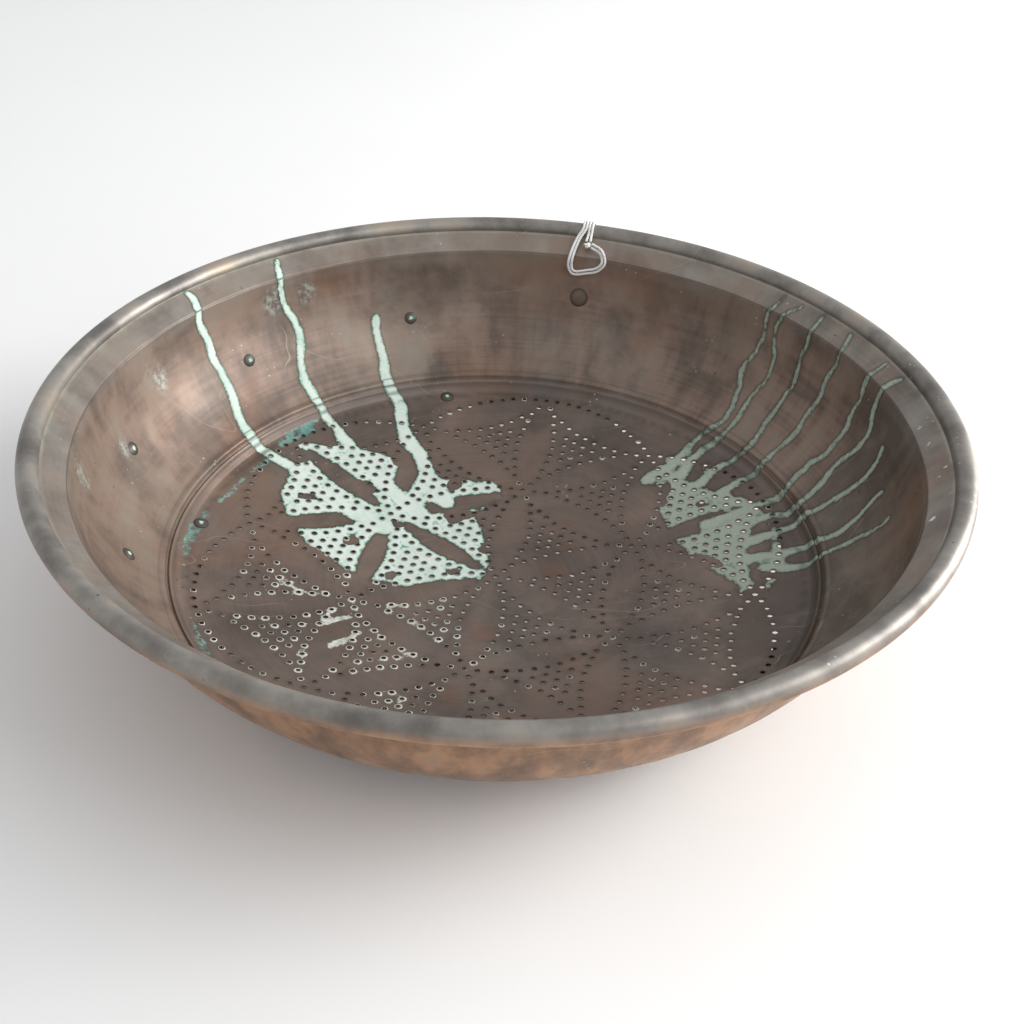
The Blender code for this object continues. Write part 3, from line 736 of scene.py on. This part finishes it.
def surface_frame(azimuth, r, z, slope):
    """Local Z is the inward normal, local Y runs up the face."""
    radial = Vector((math.cos(azimuth), math.sin(azimuth), 0.0))
    up_face = radial * math.cos(slope) + Vector((0.0, 0.0, math.sin(slope)))
    normal = Vector((0.0, 0.0, math.cos(slope))) - radial * math.sin(slope)
    rotation = Matrix((up_face.cross(normal), up_face, normal)).transposed().to_4x4()
    return Matrix.Translation(radial * r + Vector((0.0, 0.0, z))) @ rotation


def wall_frame(azimuth, drop):
    i = int(np.argmin(np.abs(WALL_LINE[:, 1] - (RIM_Z - drop))))
    way = WALL_LINE[i + 1] - WALL_LINE[i - 1]
    return surface_frame(azimuth, *WALL_LINE[i], math.atan2(way[1], way[0]))


def make_rivet(name, matrix, head_r, dome, green, node, depth):
    """A hammered head inside, a short shank, and a tail head outside."""
    profile = [(0.0, dome), (head_r * 0.3, dome * 0.97), (head_r * 0.55, dome * 0.86),
               (head_r * 0.78, dome * 0.62), (head_r * 0.92, dome * 0.34), (head_r, 0.0003),
               (head_r * 0.98, -0.0002), (head_r * 0.4, -0.0002), (head_r * 0.4, -depth),
               (head_r * 0.9, -depth), (head_r * 0.8, -depth - 0.0008),
               (head_r * 0.4, -depth - 0.0013), (0.0, -depth - 0.0014)]
    steps = 36
    verts, level, ring = [], [], []
    for i, (r, z) in enumerate(profile):
        for j in range(steps):
            a = 2 * math.pi * j / steps
            wobble = 1 + 0.04 * noise.noise(Vector((math.cos(a), math.sin(a), head_r * 900)))
            verts.append((r * wobble * math.cos(a), r * wobble * math.sin(a), z))
            level.append((green - r / MM) if i < 5 else FAR)
            # painted shade at the head's rim and under it, fading up the dome
            ring.append(1.0 if 4 <= i <= 8 else (0.45 if i == 3 else 0.0))
    faces = ring_faces(len(profile), steps, False)
    attributes = no_marks(len(verts), verdigris=level, pale=np.full(len(verts), 0.9), groove=ring)
    obj = new_object(name, verts, faces, attributes)
    face_outwards(obj, merge=0.00001)
    obj.data.transform(matrix)
    obj.data.set_sharp_from_angle(angle=math.radians(45))
    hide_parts(node)
    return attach(obj, "bowl")


# ---- string ----

def polar(across, r, z):
    azimuth = HANG_AZ + across / RIM_R
    return Vector((r * math.cos(azimuth), r * math.sin(azimuth), RIM_Z + z))


def over_rim(across, degrees):
    reach = BEAD_R + STRING_CLEAR
    angle = math.radians(degrees)
    return polar(across, BEAD_RING_R + reach * math.cos(angle), reach * math.sin(angle))


def knot_centre():
    return polar(-0.0024, 0.2580, -0.0036)


def knot_edge(across, up_band):
    radial = Vector((math.cos(HANG_AZ), math.sin(HANG_AZ), 0.0))
    around = Vector((-radial.y, radial.x, 0.0))
    band = Vector((BEAD_RING_R - BEAD_R - CREASE_R, CREASE_DROP)).normalized()
    climb = radial * band.x + Vector((0.0, 0.0, band.y))
    return knot_centre() + (around * across + climb * up_band).normalized() * (KNOT_R + 2 * GAP)


def lap_route(k):
    """Knot, over the rim, round the ring, back over the rim, the loop inside, knot."""
    hinge_r, hinge_z = math.hypot(HINGE.x, HINGE.y), HINGE.z - RIM_Z
    way = (-1, 1)[k]
    side = way * STRING_SIDE * RIM_R / hinge_r
    down = (k - 1.5) * STRING_PITCH
    up = (k + 0.5) * STRING_PITCH
    return [
        knot_edge(0.44 * way, 0.90),
        *(over_rim(down, degrees) for degrees in (165, 125, 80, 30, -15)),
        polar(down + 0.0009 * way, hinge_r + 0.0165, hinge_z + 0.0260),
        polar(side, hinge_r + STRING_TURN + 0.0010, hinge_z + 0.0040),
        polar(side, hinge_r + STRING_TURN * 0.75, hinge_z - STRING_TURN * 0.7),
        polar(side, hinge_r, hinge_z - STRING_TURN),
        polar(side, hinge_r - STRING_TURN * 0.72, hinge_z - STRING_TURN * 0.6),
        polar(side, hinge_r - STRING_TURN + 0.0008, hinge_z + 0.0040),
        polar(side, hinge_r - 0.0005, hinge_z + 0.0140),
        polar(side * 0.98, hinge_r + 0.0035, hinge_z + 0.0215),
        polar(up + 0.0008 * way, hinge_r + 0.0172, hinge_z + 0.0400),
        *(over_rim(up, degrees) for degrees in (-38, 5, 50, 95, 140)),
        polar(0.0040 + up, 0.2622, -0.0015),
        polar(0.0082 + 0.0026 * k, 0.2520, -0.0110),
        polar(0.0086 + 0.0026 * k, 0.2503, -0.0185 - 0.0006 * k),
        polar(0.0055 + 0.0012 * k, 0.2502, -0.0222 - 0.0024 * k),
        polar(-0.0035, 0.2505, -0.0205 - 0.0026 * k),
        polar(-0.0125 - 0.0010 * k, 0.2508, -0.0178 - 0.0024 * k),
        polar(-0.0168 - 0.0026 * k, 0.2516, -0.0128 - 0.0004 * k),
        polar(-0.0140 - 0.0014 * k, 0.2545, -0.0072 + 0.0024 * k),
        knot_edge(-0.90, 0.44 * way),
    ]


def smooth_points(route):
    """A Catmull-Rom curve through the route, read every STRING_STEP."""
    ends = [route[0] * 2 - route[1]] + route + [route[-1] * 2 - route[-2]]
    fine = []
    for a, b, c, d in zip(ends, ends[1:], ends[2:], ends[3:]):
        for i in range(16):
            t = i / 16
            fine.append(0.5 * (b * 2 + (c - a) * t + (a * 2 - b * 5 + c * 4 - d) * t * t
                               + (b * 3 - a - c * 3 + d) * t ** 3))
    fine.append(route[-1])
    total = sum((q - p).length for p, q in zip(fine, fine[1:]))
    count = round(total / STRING_STEP)
    points, walked, wanted = [fine[0]], 0.0, total / count
    for p, q in zip(fine, fine[1:]):
        length = (q - p).length
        while walked + length >= wanted * len(points) and len(points) < count:
            points.append(p.lerp(q, (wanted * len(points) - walked) / length))
        walked += length
    points.append(fine[-1])
    return points


def twisted_tube(name, points, radius):
    """A closed tube whose lobed section turns along it, like a string laid up from plies."""
    verts, ply_valley_shade = [], []
    way = (points[1] - points[0]).normalized()
    side = way.orthogonal().normalized()
    walked = 0.0
    for i, point in enumerate(points):
        if i:
            walked += (point - points[i - 1]).length
        ahead = points[min(i + 1, len(points) - 1)] - points[max(i - 1, 0)]
        turned = way.rotation_difference(ahead.normalized())
        side = turned @ side
        way = ahead.normalized()
        up = way.cross(side)
        size = radius * (1 + 0.03 * noise.noise(point * 900))
        for j in range(STRING_SIDES):
            a = 2 * math.pi * j / STRING_SIDES
            phase = PLIES * (a - 2 * math.pi * walked / TWIST_LENGTH)
            lobe = 0.80 + 0.20 * abs(math.cos(phase / 2)) ** 0.8
            verts.append(point + (side * math.cos(a) + up * math.sin(a)) * size * lobe)
            # painted shade: how deep the point lies in a hollow between plies
            ply_valley_shade.append(1 - abs(math.cos(phase / 2)))
    rows = len(points)
    faces = ring_faces(rows, STRING_SIDES, False)
    faces.append(tuple(range(STRING_SIDES))[::-1])
    faces.append(tuple(range((rows - 1) * STRING_SIDES, rows * STRING_SIDES)))
    obj = new_object(name, verts, faces, {"valley_shade": ply_valley_shade})
    face_outwards(obj)
    return obj


def make_string(cotton):
    for k in range(2):
        path = smooth_points(lap_route(k))
        lap = twisted_tube("cotton_string_%d" % (k + 1), path, STRING_R)
        lap.data.materials.append(cotton)
        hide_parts("string_lap_%d" % (k + 1))
        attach(lap, "bowl")
    centre = knot_centre()
    tangle = []
    for i in range(KNOT_POINTS):
        a = 2 * math.pi * i / KNOT_POINTS
        tangle.append(centre + Vector((math.sin(a) + 2 * math.sin(2 * a),
                                       math.cos(a) - 2 * math.cos(2 * a),
                                       -math.sin(3 * a) * 1.1)) * KNOT_SIZE)
    knot = twisted_tube("string_tie", tangle, STRING_R * 0.95)
    knot.data.materials.append(cotton)
    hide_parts("string_knot")
    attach(knot, "bowl")


def make_ring(iron):
    """The hanging ring, slightly uneven along its wire."""
    major, minor = 96, 16
    matrix = (Matrix.Translation(HINGE) @ Matrix.Rotation(HANG_AZ - math.pi / 2, 4, "Z")
              @ Matrix.Translation((0.0, 0.0, RING_RISE - RING_R)))
    verts = []
    for i in range(major):
        a = 2 * math.pi * i / major
        size = RING_WIRE_R * (0.985 + 0.015 * math.sin(3 * a))
        for j in range(minor):
            b = 2 * math.pi * j / minor
            reach = RING_R + size * math.cos(b)
            verts.append(matrix @ Vector((reach * math.cos(a), size * math.sin(b),
                                          reach * math.sin(a))))
    ring = new_object("forged_ring", verts, ring_faces(major, minor, True))
    face_outwards(ring)
    ring.data.materials.append(iron)
    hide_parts("hanging_ring")
    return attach(ring, "ring")


# ---- materials ----

class Nodes:
    """Short calls that build one material's node tree."""

    def __init__(self, name):
        self.mat = bpy.data.materials.new(name)
        self.mat.use_nodes = True
        self.tree = self.mat.node_tree
        self.shader = self.tree.nodes["Principled BSDF"]
        self.place = self.add("ShaderNodeTexCoord").outputs["Object"]

    def add(self, kind, **settings):
        node = self.tree.nodes.new(kind)
        for key, value in settings.items():
            setattr(node, key, value)
        return node

    def feed(self, socket, value):
        if isinstance(value, bpy.types.NodeSocket):
            self.tree.links.new(value, socket)
        elif isinstance(value, tuple) and len(value) == 3 and socket.type == "RGBA":
            socket.default_value = (*value, 1.0)
        else:
            socket.default_value = value

    def set(self, name, value):
        self.feed(self.shader.inputs[name], value)

    def attribute(self, name):
        return self.add("ShaderNodeAttribute", attribute_name=name).outputs["Fac"]

    def maths(self, operation, a, b=0.0, c=0.0):
        node = self.add("ShaderNodeMath", operation=operation)
        for socket, value in zip(node.inputs, (a, b, c)):
            self.feed(socket, value)
        return node.outputs[0]

    def times(self, a, b):
        return self.maths("MULTIPLY", a, b)

    def plus(self, a, b):
        return self.maths("ADD", a, b)

    def minus(self, a, b):
        return self.maths("SUBTRACT", a, b)

    def spots(self, scale, size, patch_scale, patch_from):
        """Round spots that gather in patches."""
        dots = self.step(self.cells(scale), *size, 1, 0)
        return self.times(dots, self.step(self.noise(patch_scale, 3), *patch_from))

    def coats(self, base, *coats):
        """Colours laid over a base in turn, each where its own factor says."""
        for factor, colour in coats:
            base = self.mix(factor, base, colour)
        return base

    def two_tone(self, texture, low, low_colour, high, high_colour):
        return self.ramp(texture, [(low, rgb(*low_colour)), (high, rgb(*high_colour))])

    def stretched(self, scale):
        node = self.add("ShaderNodeVectorMath", operation="MULTIPLY")
        self.feed(node.inputs[0], self.place)
        node.inputs[1].default_value = scale
        return node.outputs[0]

    def split(self, vector):
        node = self.add("ShaderNodeSeparateXYZ")
        self.feed(node.inputs[0], vector)
        return node.outputs

    def join(self, *parts):
        node = self.add("ShaderNodeCombineXYZ")
        for socket, value in zip(node.inputs, parts):
            self.feed(socket, value)
        return node.outputs[0]

    def around(self, turns, rise):
        """Coordinates that stretch stains down the wall: direction from the axis, and height."""
        x, y, z = self.split(self.place)
        radius = self.radius()
        spot = self.join(self.maths("DIVIDE", x, radius), self.maths("DIVIDE", y, radius),
                         self.times(z, rise / turns))
        node = self.add("ShaderNodeVectorMath", operation="SCALE")
        self.feed(node.inputs[0], spot)
        node.inputs["Scale"].default_value = turns
        return node.outputs[0]

    def radius(self):
        node = self.add("ShaderNodeVectorMath", operation="LENGTH")
        self.feed(node.inputs[0], self.stretched((1.0, 1.0, 0.0)))
        return node.outputs["Value"]

    def rings(self, across, along):
        """Coordinates that stretch marks round the bowl."""
        x, y, z = self.split(self.stretched((along, along, along)))
        return self.join(x, y, self.maths("MULTIPLY_ADD", self.radius(), across, z))

    def noise(self, scale, detail=4.0, rough=0.5, vector=None, distortion=0.0):
        node = self.add("ShaderNodeTexNoise")
        self.feed(node.inputs["Vector"], self.place if vector is None else vector)
        for key, value in (("Scale", scale), ("Detail", detail), ("Roughness", rough),
                           ("Distortion", distortion)):
            node.inputs[key].default_value = value
        return node.outputs["Fac"]

    def cells(self, scale, feature="F1"):
        node = self.add("ShaderNodeTexVoronoi", feature=feature)
        self.feed(node.inputs["Vector"], self.place)
        node.inputs["Scale"].default_value = scale
        return node.outputs["Distance"]

    def step(self, value, low, high, to_low=0.0, to_high=1.0):
        node = self.add("ShaderNodeMapRange", interpolation_type="SMOOTHSTEP")
        for key, number in (("Value", value), ("From Min", low), ("From Max", high),
                            ("To Min", to_low), ("To Max", to_high)):
            self.feed(node.inputs[key], number)
        return node.outputs["Result"]

    def mix(self, factor, a, b):
        node = self.add("ShaderNodeMix", data_type="RGBA")
        self.feed(node.inputs["Factor"], factor)
        self.feed(node.inputs[6], a)
        self.feed(node.inputs[7], b)
        return node.outputs[2]

    def ramp(self, value, stops):
        node = self.add("ShaderNodeValToRGB")
        self.feed(node.inputs[0], value)
        elements = node.color_ramp.elements
        while len(elements) < len(stops):
            elements.new(0.5)
        for element, (at, colour) in zip(elements, stops):
            element.position = at
            element.color = (*colour, 1.0)
        return node.outputs["Color"]

    def bump(self, height, distance, strength=1.0, normal=None):
        node = self.add("ShaderNodeBump")
        node.inputs["Strength"].default_value = strength
        node.inputs["Distance"].default_value = distance
        self.feed(node.inputs["Height"], height)
        if normal is not None:
            self.feed(node.inputs["Normal"], normal)
        return node.outputs["Normal"]


def rgb(red, green, blue):
    """A display colour from 0 to 255, as linear light."""
    return tuple(round((c / 255) ** 2.2, 4) for c in (red, green, blue))


def aged_copper(name, stops, grey, hammer=0.00035, steep=True):
    """Tarnished copper. On a steep piece the stains are drawn out down the face."""
    metal, rough = 0.38, 0.45
    m = Nodes(name)
    blotch = m.noise(11, 6, 0.6, distortion=0.6)
    streak = m.noise(1.0, 5, 0.6, m.around(16, 22)) if steep else m.noise(9, 5, 0.6)
    tarnish = m.noise(1.0, 6, 0.62, m.around(11, 30)) if steep else m.noise(13, 6, 0.62)
    turned = m.noise(1.0, 3, 0.5, m.rings(700, 14))
    tone = m.plus(m.times(blotch, 0.6), m.times(streak, 0.28))
    tone = m.plus(tone, m.times(turned, 0.12))
    cloud = m.step(m.noise(6.5, 7, 0.65), 0.48, 0.70)
    warm = m.step(m.noise(5, 6, 0.6, distortion=0.8), 0.52, 0.68, 0, 0.45)
    smoke = m.step(m.noise(8, 6, 0.65), 0.50, 0.66, 0, 0.55)
    film = m.times(m.attribute("film"), m.step(m.noise(38, 5, 0.6), 0.3, 0.7, 0.2, 0.6))
    film_tone = m.two_tone(m.noise(30, 5), 0.35, (124, 121, 114), 0.65, (160, 160, 153))
    base = m.coats(m.ramp(tone, stops), (m.times(cloud, 0.5), grey), (warm, rgb(140, 104, 82)),
                   (smoke, rgb(74, 66, 62)), (film, film_tone))
    # the outside of the wall keeps more of the metal's colour
    outside = m.ramp(tarnish, [(0.30, rgb(96, 78, 66)), (0.47, rgb(138, 108, 86)),
                               (0.60, rgb(172, 132, 102)), (0.74, rgb(142, 130, 114))])
    bead_tone = m.ramp(m.noise(20, 5, 0.6), [(0.35, rgb(108, 104, 100)), (0.55, rgb(152, 147, 140)),
                                             (0.72, rgb(174, 158, 140))])
    top_bead = m.times(m.attribute("bead"), m.minus(1.0, m.attribute("outer")))
    copper = m.step(m.plus(m.attribute("orange"), m.times(m.noise(90, 5, 0.7), 14)), 5, 20, 0, 0.45)
    # painted highlight: the edge mark gives a thin light line along the join and, outside, along the
    # crease
    edge = m.times(m.attribute("edge"), m.step(m.noise(60, 4), 0.3, 0.6, 0.2, 0.7))
    # the last of these coats is painted shade in seams, creases, hole rims and rivet edges
    base = m.coats(base, (m.attribute("outer"), outside), (top_bead, bead_tone),
                   (copper, rgb(126, 92, 70)), (edge, rgb(172, 170, 158)),
                   (m.times(m.attribute("groove"), 0.7), rgb(54, 45, 41)))
    # hairline scratches along the contours of a noise, pale specks and pits
    wavy = m.noise(9, 1, 0.4, m.stretched((1.0, 3.4, 2.0)))
    contour = m.maths("ABSOLUTE", m.minus(wavy, 0.5))
    scratch = m.times(m.step(contour, 0.0, 0.004, 1, 0), m.step(m.noise(14, 3), 0.52, 0.62))
    speck = m.spots(210, (0.10, 0.17), 33, (0.60, 0.68))
    pit = m.spots(150, (0.06, 0.13), 22, (0.62, 0.7))
    bloom = m.times(m.step(m.attribute("bloom"), 0.0, 0.7),
                    m.step(m.noise(240, 5, 0.7), 0.44, 0.62, 0, 0.7))
    base = m.coats(base, (m.times(scratch, 0.4), rgb(180, 164, 148)),
                   (m.times(speck, 0.8), rgb(196, 192, 176)), (pit, rgb(40, 32, 30)),
                   (bloom, rgb(176, 188, 182)))
    # deposits
    rag = m.times(m.minus(m.noise(420, 4, 0.65), 0.5), RAG)
    lime = m.step(m.plus(m.attribute("lime"), rag), 0.0, 0.7)
    lime_tone = m.two_tone(m.noise(300, 3), 0.3, (160, 160, 150), 0.7, (226, 228, 218))
    blue_depth = m.plus(m.attribute("turquoise"), m.times(rag, 2.2))
    blue = m.step(blue_depth, -0.4, 1.4, 0, 0.75)
    blue_tone = m.two_tone(m.noise(160, 4), 0.35, (72, 146, 138), 0.7, (140, 184, 174))
    depth = m.plus(m.attribute("verdigris"), rag)
    green = m.step(depth, -0.15, 0.35)
    halo = m.step(m.attribute("verdigris"), -2.6, 0.0, 0, 0.5)
    thick = m.step(depth, 0.1, 2.2)
    # the pale share lifts a deposit to its light colours; where it is low, on the side away from the
    # lamps, the darker colours are partly painted shade
    pale = m.step(m.attribute("pale"), 0.35, 1.0)
    light = m.mix(thick, rgb(170, 200, 184), rgb(224, 236, 226))
    dull_and_shaded = m.mix(thick, rgb(118, 128, 114), rgb(160, 170, 154))
    tint = m.times(m.step(m.noise(55, 5, 0.6), 0.45, 0.75, 0, 0.35), pale)
    fringe = m.times(m.step(depth, 0.2, 1.3, 0.7, 0), pale)
    dust = m.step(m.noise(360, 4, 0.7), 0.50, 0.64, 0, 0.55)
    # painted shade: darker green round the holes inside a deposit
    dimple_shade = m.step(m.attribute("groove"), 0.06, 0.45, 0, 0.75)
    crust = m.coats(dull_and_shaded, (pale, light), (tint, rgb(120, 186, 160)), (fringe, rgb(112, 172, 146)),
                    (dust, m.mix(pale, rgb(176, 180, 168), rgb(228, 238, 230))),
                    (dimple_shade, rgb(84, 100, 92)))
    m.set("Base Color", m.coats(base, (lime, lime_tone), (blue, blue_tone),
                                (halo, rgb(66, 62, 55)), (green, crust)))
    covered = m.maths("MAXIMUM", m.maths("MAXIMUM", green, lime), blue)
    cleaner = m.maths("MAXIMUM", m.attribute("outer"), m.attribute("bead"))
    bright = m.maths("MULTIPLY_ADD", cleaner, 0.18, metal)
    m.set("Metallic", m.times(m.minus(1.0, covered), bright))
    shine = m.plus(rough, m.times(m.minus(m.noise(26, 5), 0.5), 0.22))
    m.set("Roughness", m.maths("MAXIMUM", shine, m.times(covered, 0.82)))
    dents = m.bump(m.cells(58, "SMOOTH_F1"), hammer, 0.9)
    grain = m.bump(m.noise(900, 3, 0.6), 0.00005, 0.6, dents)
    lines_turned = m.bump(turned, 0.00010, 0.5, grain)
    built = m.plus(m.times(green, 0.7), m.times(lime, 0.6))
    built = m.plus(built, m.times(m.noise(500, 4, 0.6), m.times(covered, 0.5)))
    m.set("Normal", m.bump(built, 0.00022, 0.9, lines_turned))
    return m.mat


def dark_metal(name, low, high, metal, rough, scale):
    m = Nodes(name)
    tone = m.noise(scale, 6, 0.65)
    rust = m.step(m.noise(scale * 2.3, 5, 0.6), 0.58, 0.74)
    m.set("Base Color", m.mix(rust, m.ramp(tone, [(0.3, low), (0.7, high)]), rgb(104, 64, 44)))
    m.set("Metallic", m.times(m.minus(1.0, rust), metal))
    m.set("Roughness", m.step(tone, 0.2, 0.8, rough - 0.1, rough + 0.2))
    m.set("Normal", m.bump(m.noise(scale * 7, 5, 0.6), 0.00012, 0.8))
    return m.mat


def cotton_yarn():
    m = Nodes("cotton_yarn")
    valley_shade = m.attribute("valley_shade")
    fluff = m.noise(2600, 5, 0.7)
    # painted shade: grey in the hollows between the plies
    base = m.mix(valley_shade, rgb(252, 252, 250), rgb(208, 206, 200))
    base = m.mix(m.step(m.noise(160, 4), 0.55, 0.75, 0, 0.2), base, rgb(190, 187, 180))
    m.set("Base Color", base)
    m.set("Roughness", m.step(fluff, 0.2, 0.8, 0.82, 0.98))
    m.shader.inputs["Sheen Weight"].default_value = 0.3
    m.shader.inputs["Subsurface Weight"].default_value = 0.15
    m.shader.inputs["Subsurface Radius"].default_value = (0.001, 0.001, 0.001)
    m.set("Normal", m.bump(fluff, 0.00010, 0.8))
    return m.mat


def pale_floor():
    m = Nodes("pale_paper")
    m.set("Base Color", m.ramp(m.noise(3, 4), [(0.3, (0.93, 0.93, 0.92)), (0.7, (0.95, 0.95, 0.94))]))
    m.set("Roughness", m.step(m.noise(40, 3), 0.3, 0.7, 0.75, 0.9))
    return m.mat


# ---- stage, lights and camera ----

def make_stage():
    corners = [(x * PAPER_HALF, y * PAPER_HALF, 0)
               for x, y in ((-1, -1), (1, -1), (1, 1), (-1, 1))]
    floor = new_object("paper_floor", corners, [(0, 1, 2, 3)], smooth=False)
    floor.location.z = -PAPER_BELOW
    floor.data.materials.append(pale_floor())


def make_light(lamp):
    light = bpy.data.lights.new(lamp.name, "AREA")
    light.shape = "SQUARE"
    light.size = lamp.size
    light.energy = lamp.power
    light.color = lamp.colour
    obj = bpy.data.objects.new(lamp.name, light)
    obj.location = lamp.place
    way = Vector(lamp.target) - Vector(lamp.place)
    obj.rotation_euler = way.to_track_quat("-Z", "Y").to_euler()
    bpy.context.scene.collection.objects.link(obj)


def make_world():
    world = bpy.data.worlds.new("studio")
    world.use_nodes = True
    back = world.node_tree.nodes["Background"]
    back.inputs["Color"].default_value = (*SKY_COLOUR, 1.0)
    back.inputs["Strength"].default_value = SKY_STRENGTH
    bpy.context.scene.world = world


def make_camera():
    lens = bpy.data.cameras.new("view")
    lens.lens = VIEW_LENS
    lens.sensor_width = 36.0
    camera = bpy.data.objects.new("view", lens)
    place = Vector((0.0, -math.cos(VIEW_ELEVATION), math.sin(VIEW_ELEVATION))) * VIEW_DISTANCE
    camera.matrix_world = (
        Matrix.Translation(place + Vector((0.0, 0.0, RIM_Z)))
        @ Matrix.Rotation(math.pi / 2 - VIEW_ELEVATION, 4, "X")
        @ Matrix.Rotation(-VIEW_YAW, 4, "Y") @ Matrix.Rotation(-VIEW_PITCH, 4, "X")
        @ Matrix.Rotation(-VIEW_ROLL, 4, "Z"))
    bpy.context.scene.collection.objects.link(camera)
    bpy.context.scene.camera = camera


def build():
    make_camera()
    make_world()
    for lamp in LAMPS:
        make_light(lamp)
    make_stage()

    iron = dark_metal("old_iron", rgb(46, 40, 38), rgb(86, 78, 74), 0.7, 0.5, 120)
    strap_copper = dark_metal("old_strap", rgb(74, 52, 42), rgb(122, 88, 66), 0.7, 0.45, 90)
    wall_copper = aged_copper(
        "wall_copper",
        [(0.30, rgb(76, 66, 60)), (0.42, rgb(106, 92, 83)), (0.52, rgb(140, 120, 107)),
         (0.62, rgb(144, 132, 119)), (0.74, rgb(118, 117, 107))], rgb(130, 128, 119))
    floor_copper = aged_copper(
        "floor_copper",
        [(0.30, rgb(82, 72, 66)), (0.46, rgb(114, 100, 92)), (0.60, rgb(136, 118, 106)),
         (0.74, rgb(122, 117, 110))], rgb(108, 108, 105), hammer=0.0002, steep=False)
    rivet_copper = aged_copper(
        "rivet_copper",
        [(0.30, rgb(74, 70, 66)), (0.50, rgb(98, 92, 86)), (0.70, rgb(118, 110, 102))],
        rgb(104, 104, 98), hammer=0.0001)

    make_string(cotton_yarn())
    wall = make_wall()
    wall.data.materials.append(wall_copper)
    floor = make_floor()
    floor.data.materials.append(floor_copper)
    pins = [make_rivet("wall_pin_%d" % (i + 1), wall_frame(math.radians(az), drop), WALL_HEAD_R,
                       DOME, RIVET_GREEN, "wall_rivet_%d" % (i + 1), SHEET + GAP)
            for i, (az, drop) in enumerate(WALL_RIVETS)]
    height, slope = float(floor_height(FLOOR_RIVET_R)), math.atan(floor_slope(FLOOR_RIVET_R))
    for i, side in enumerate((-1, 1)):
        az = math.radians(FLOOR_RIVET_MID + FLOOR_RIVET_SPREAD * side)
        pins.append(make_rivet("floor_pin_%d" % (i + 1),
                               surface_frame(az, FLOOR_RIVET_R, height, slope), FLOOR_HEAD_R,
                               FLOOR_DOME, RIVET_GREEN, "floor_rivet_%d" % (i + 1),
                               2 * SHEET + 2 * GAP))
    pins.append(make_rivet("hanger_pin", wall_frame(HANG_AZ, HANG_DROP), HANG_HEAD_R, DOME, -5.0,
                           "hanger_rivet", 2 * SHEET + 2 * GAP))
    for pin in pins:
        pin.data.materials.append(rivet_copper)
    make_ring(iron)
    for node, mat in (("rim_wire", iron), ("hanger_strap", strap_copper)):
        slots = frame["nodes"][node].data.materials
        slots.clear()
        slots.append(mat)


build()
bpy.context.scene.view_settings.view_transform = "Standard"
bpy.context.view_layer.update()
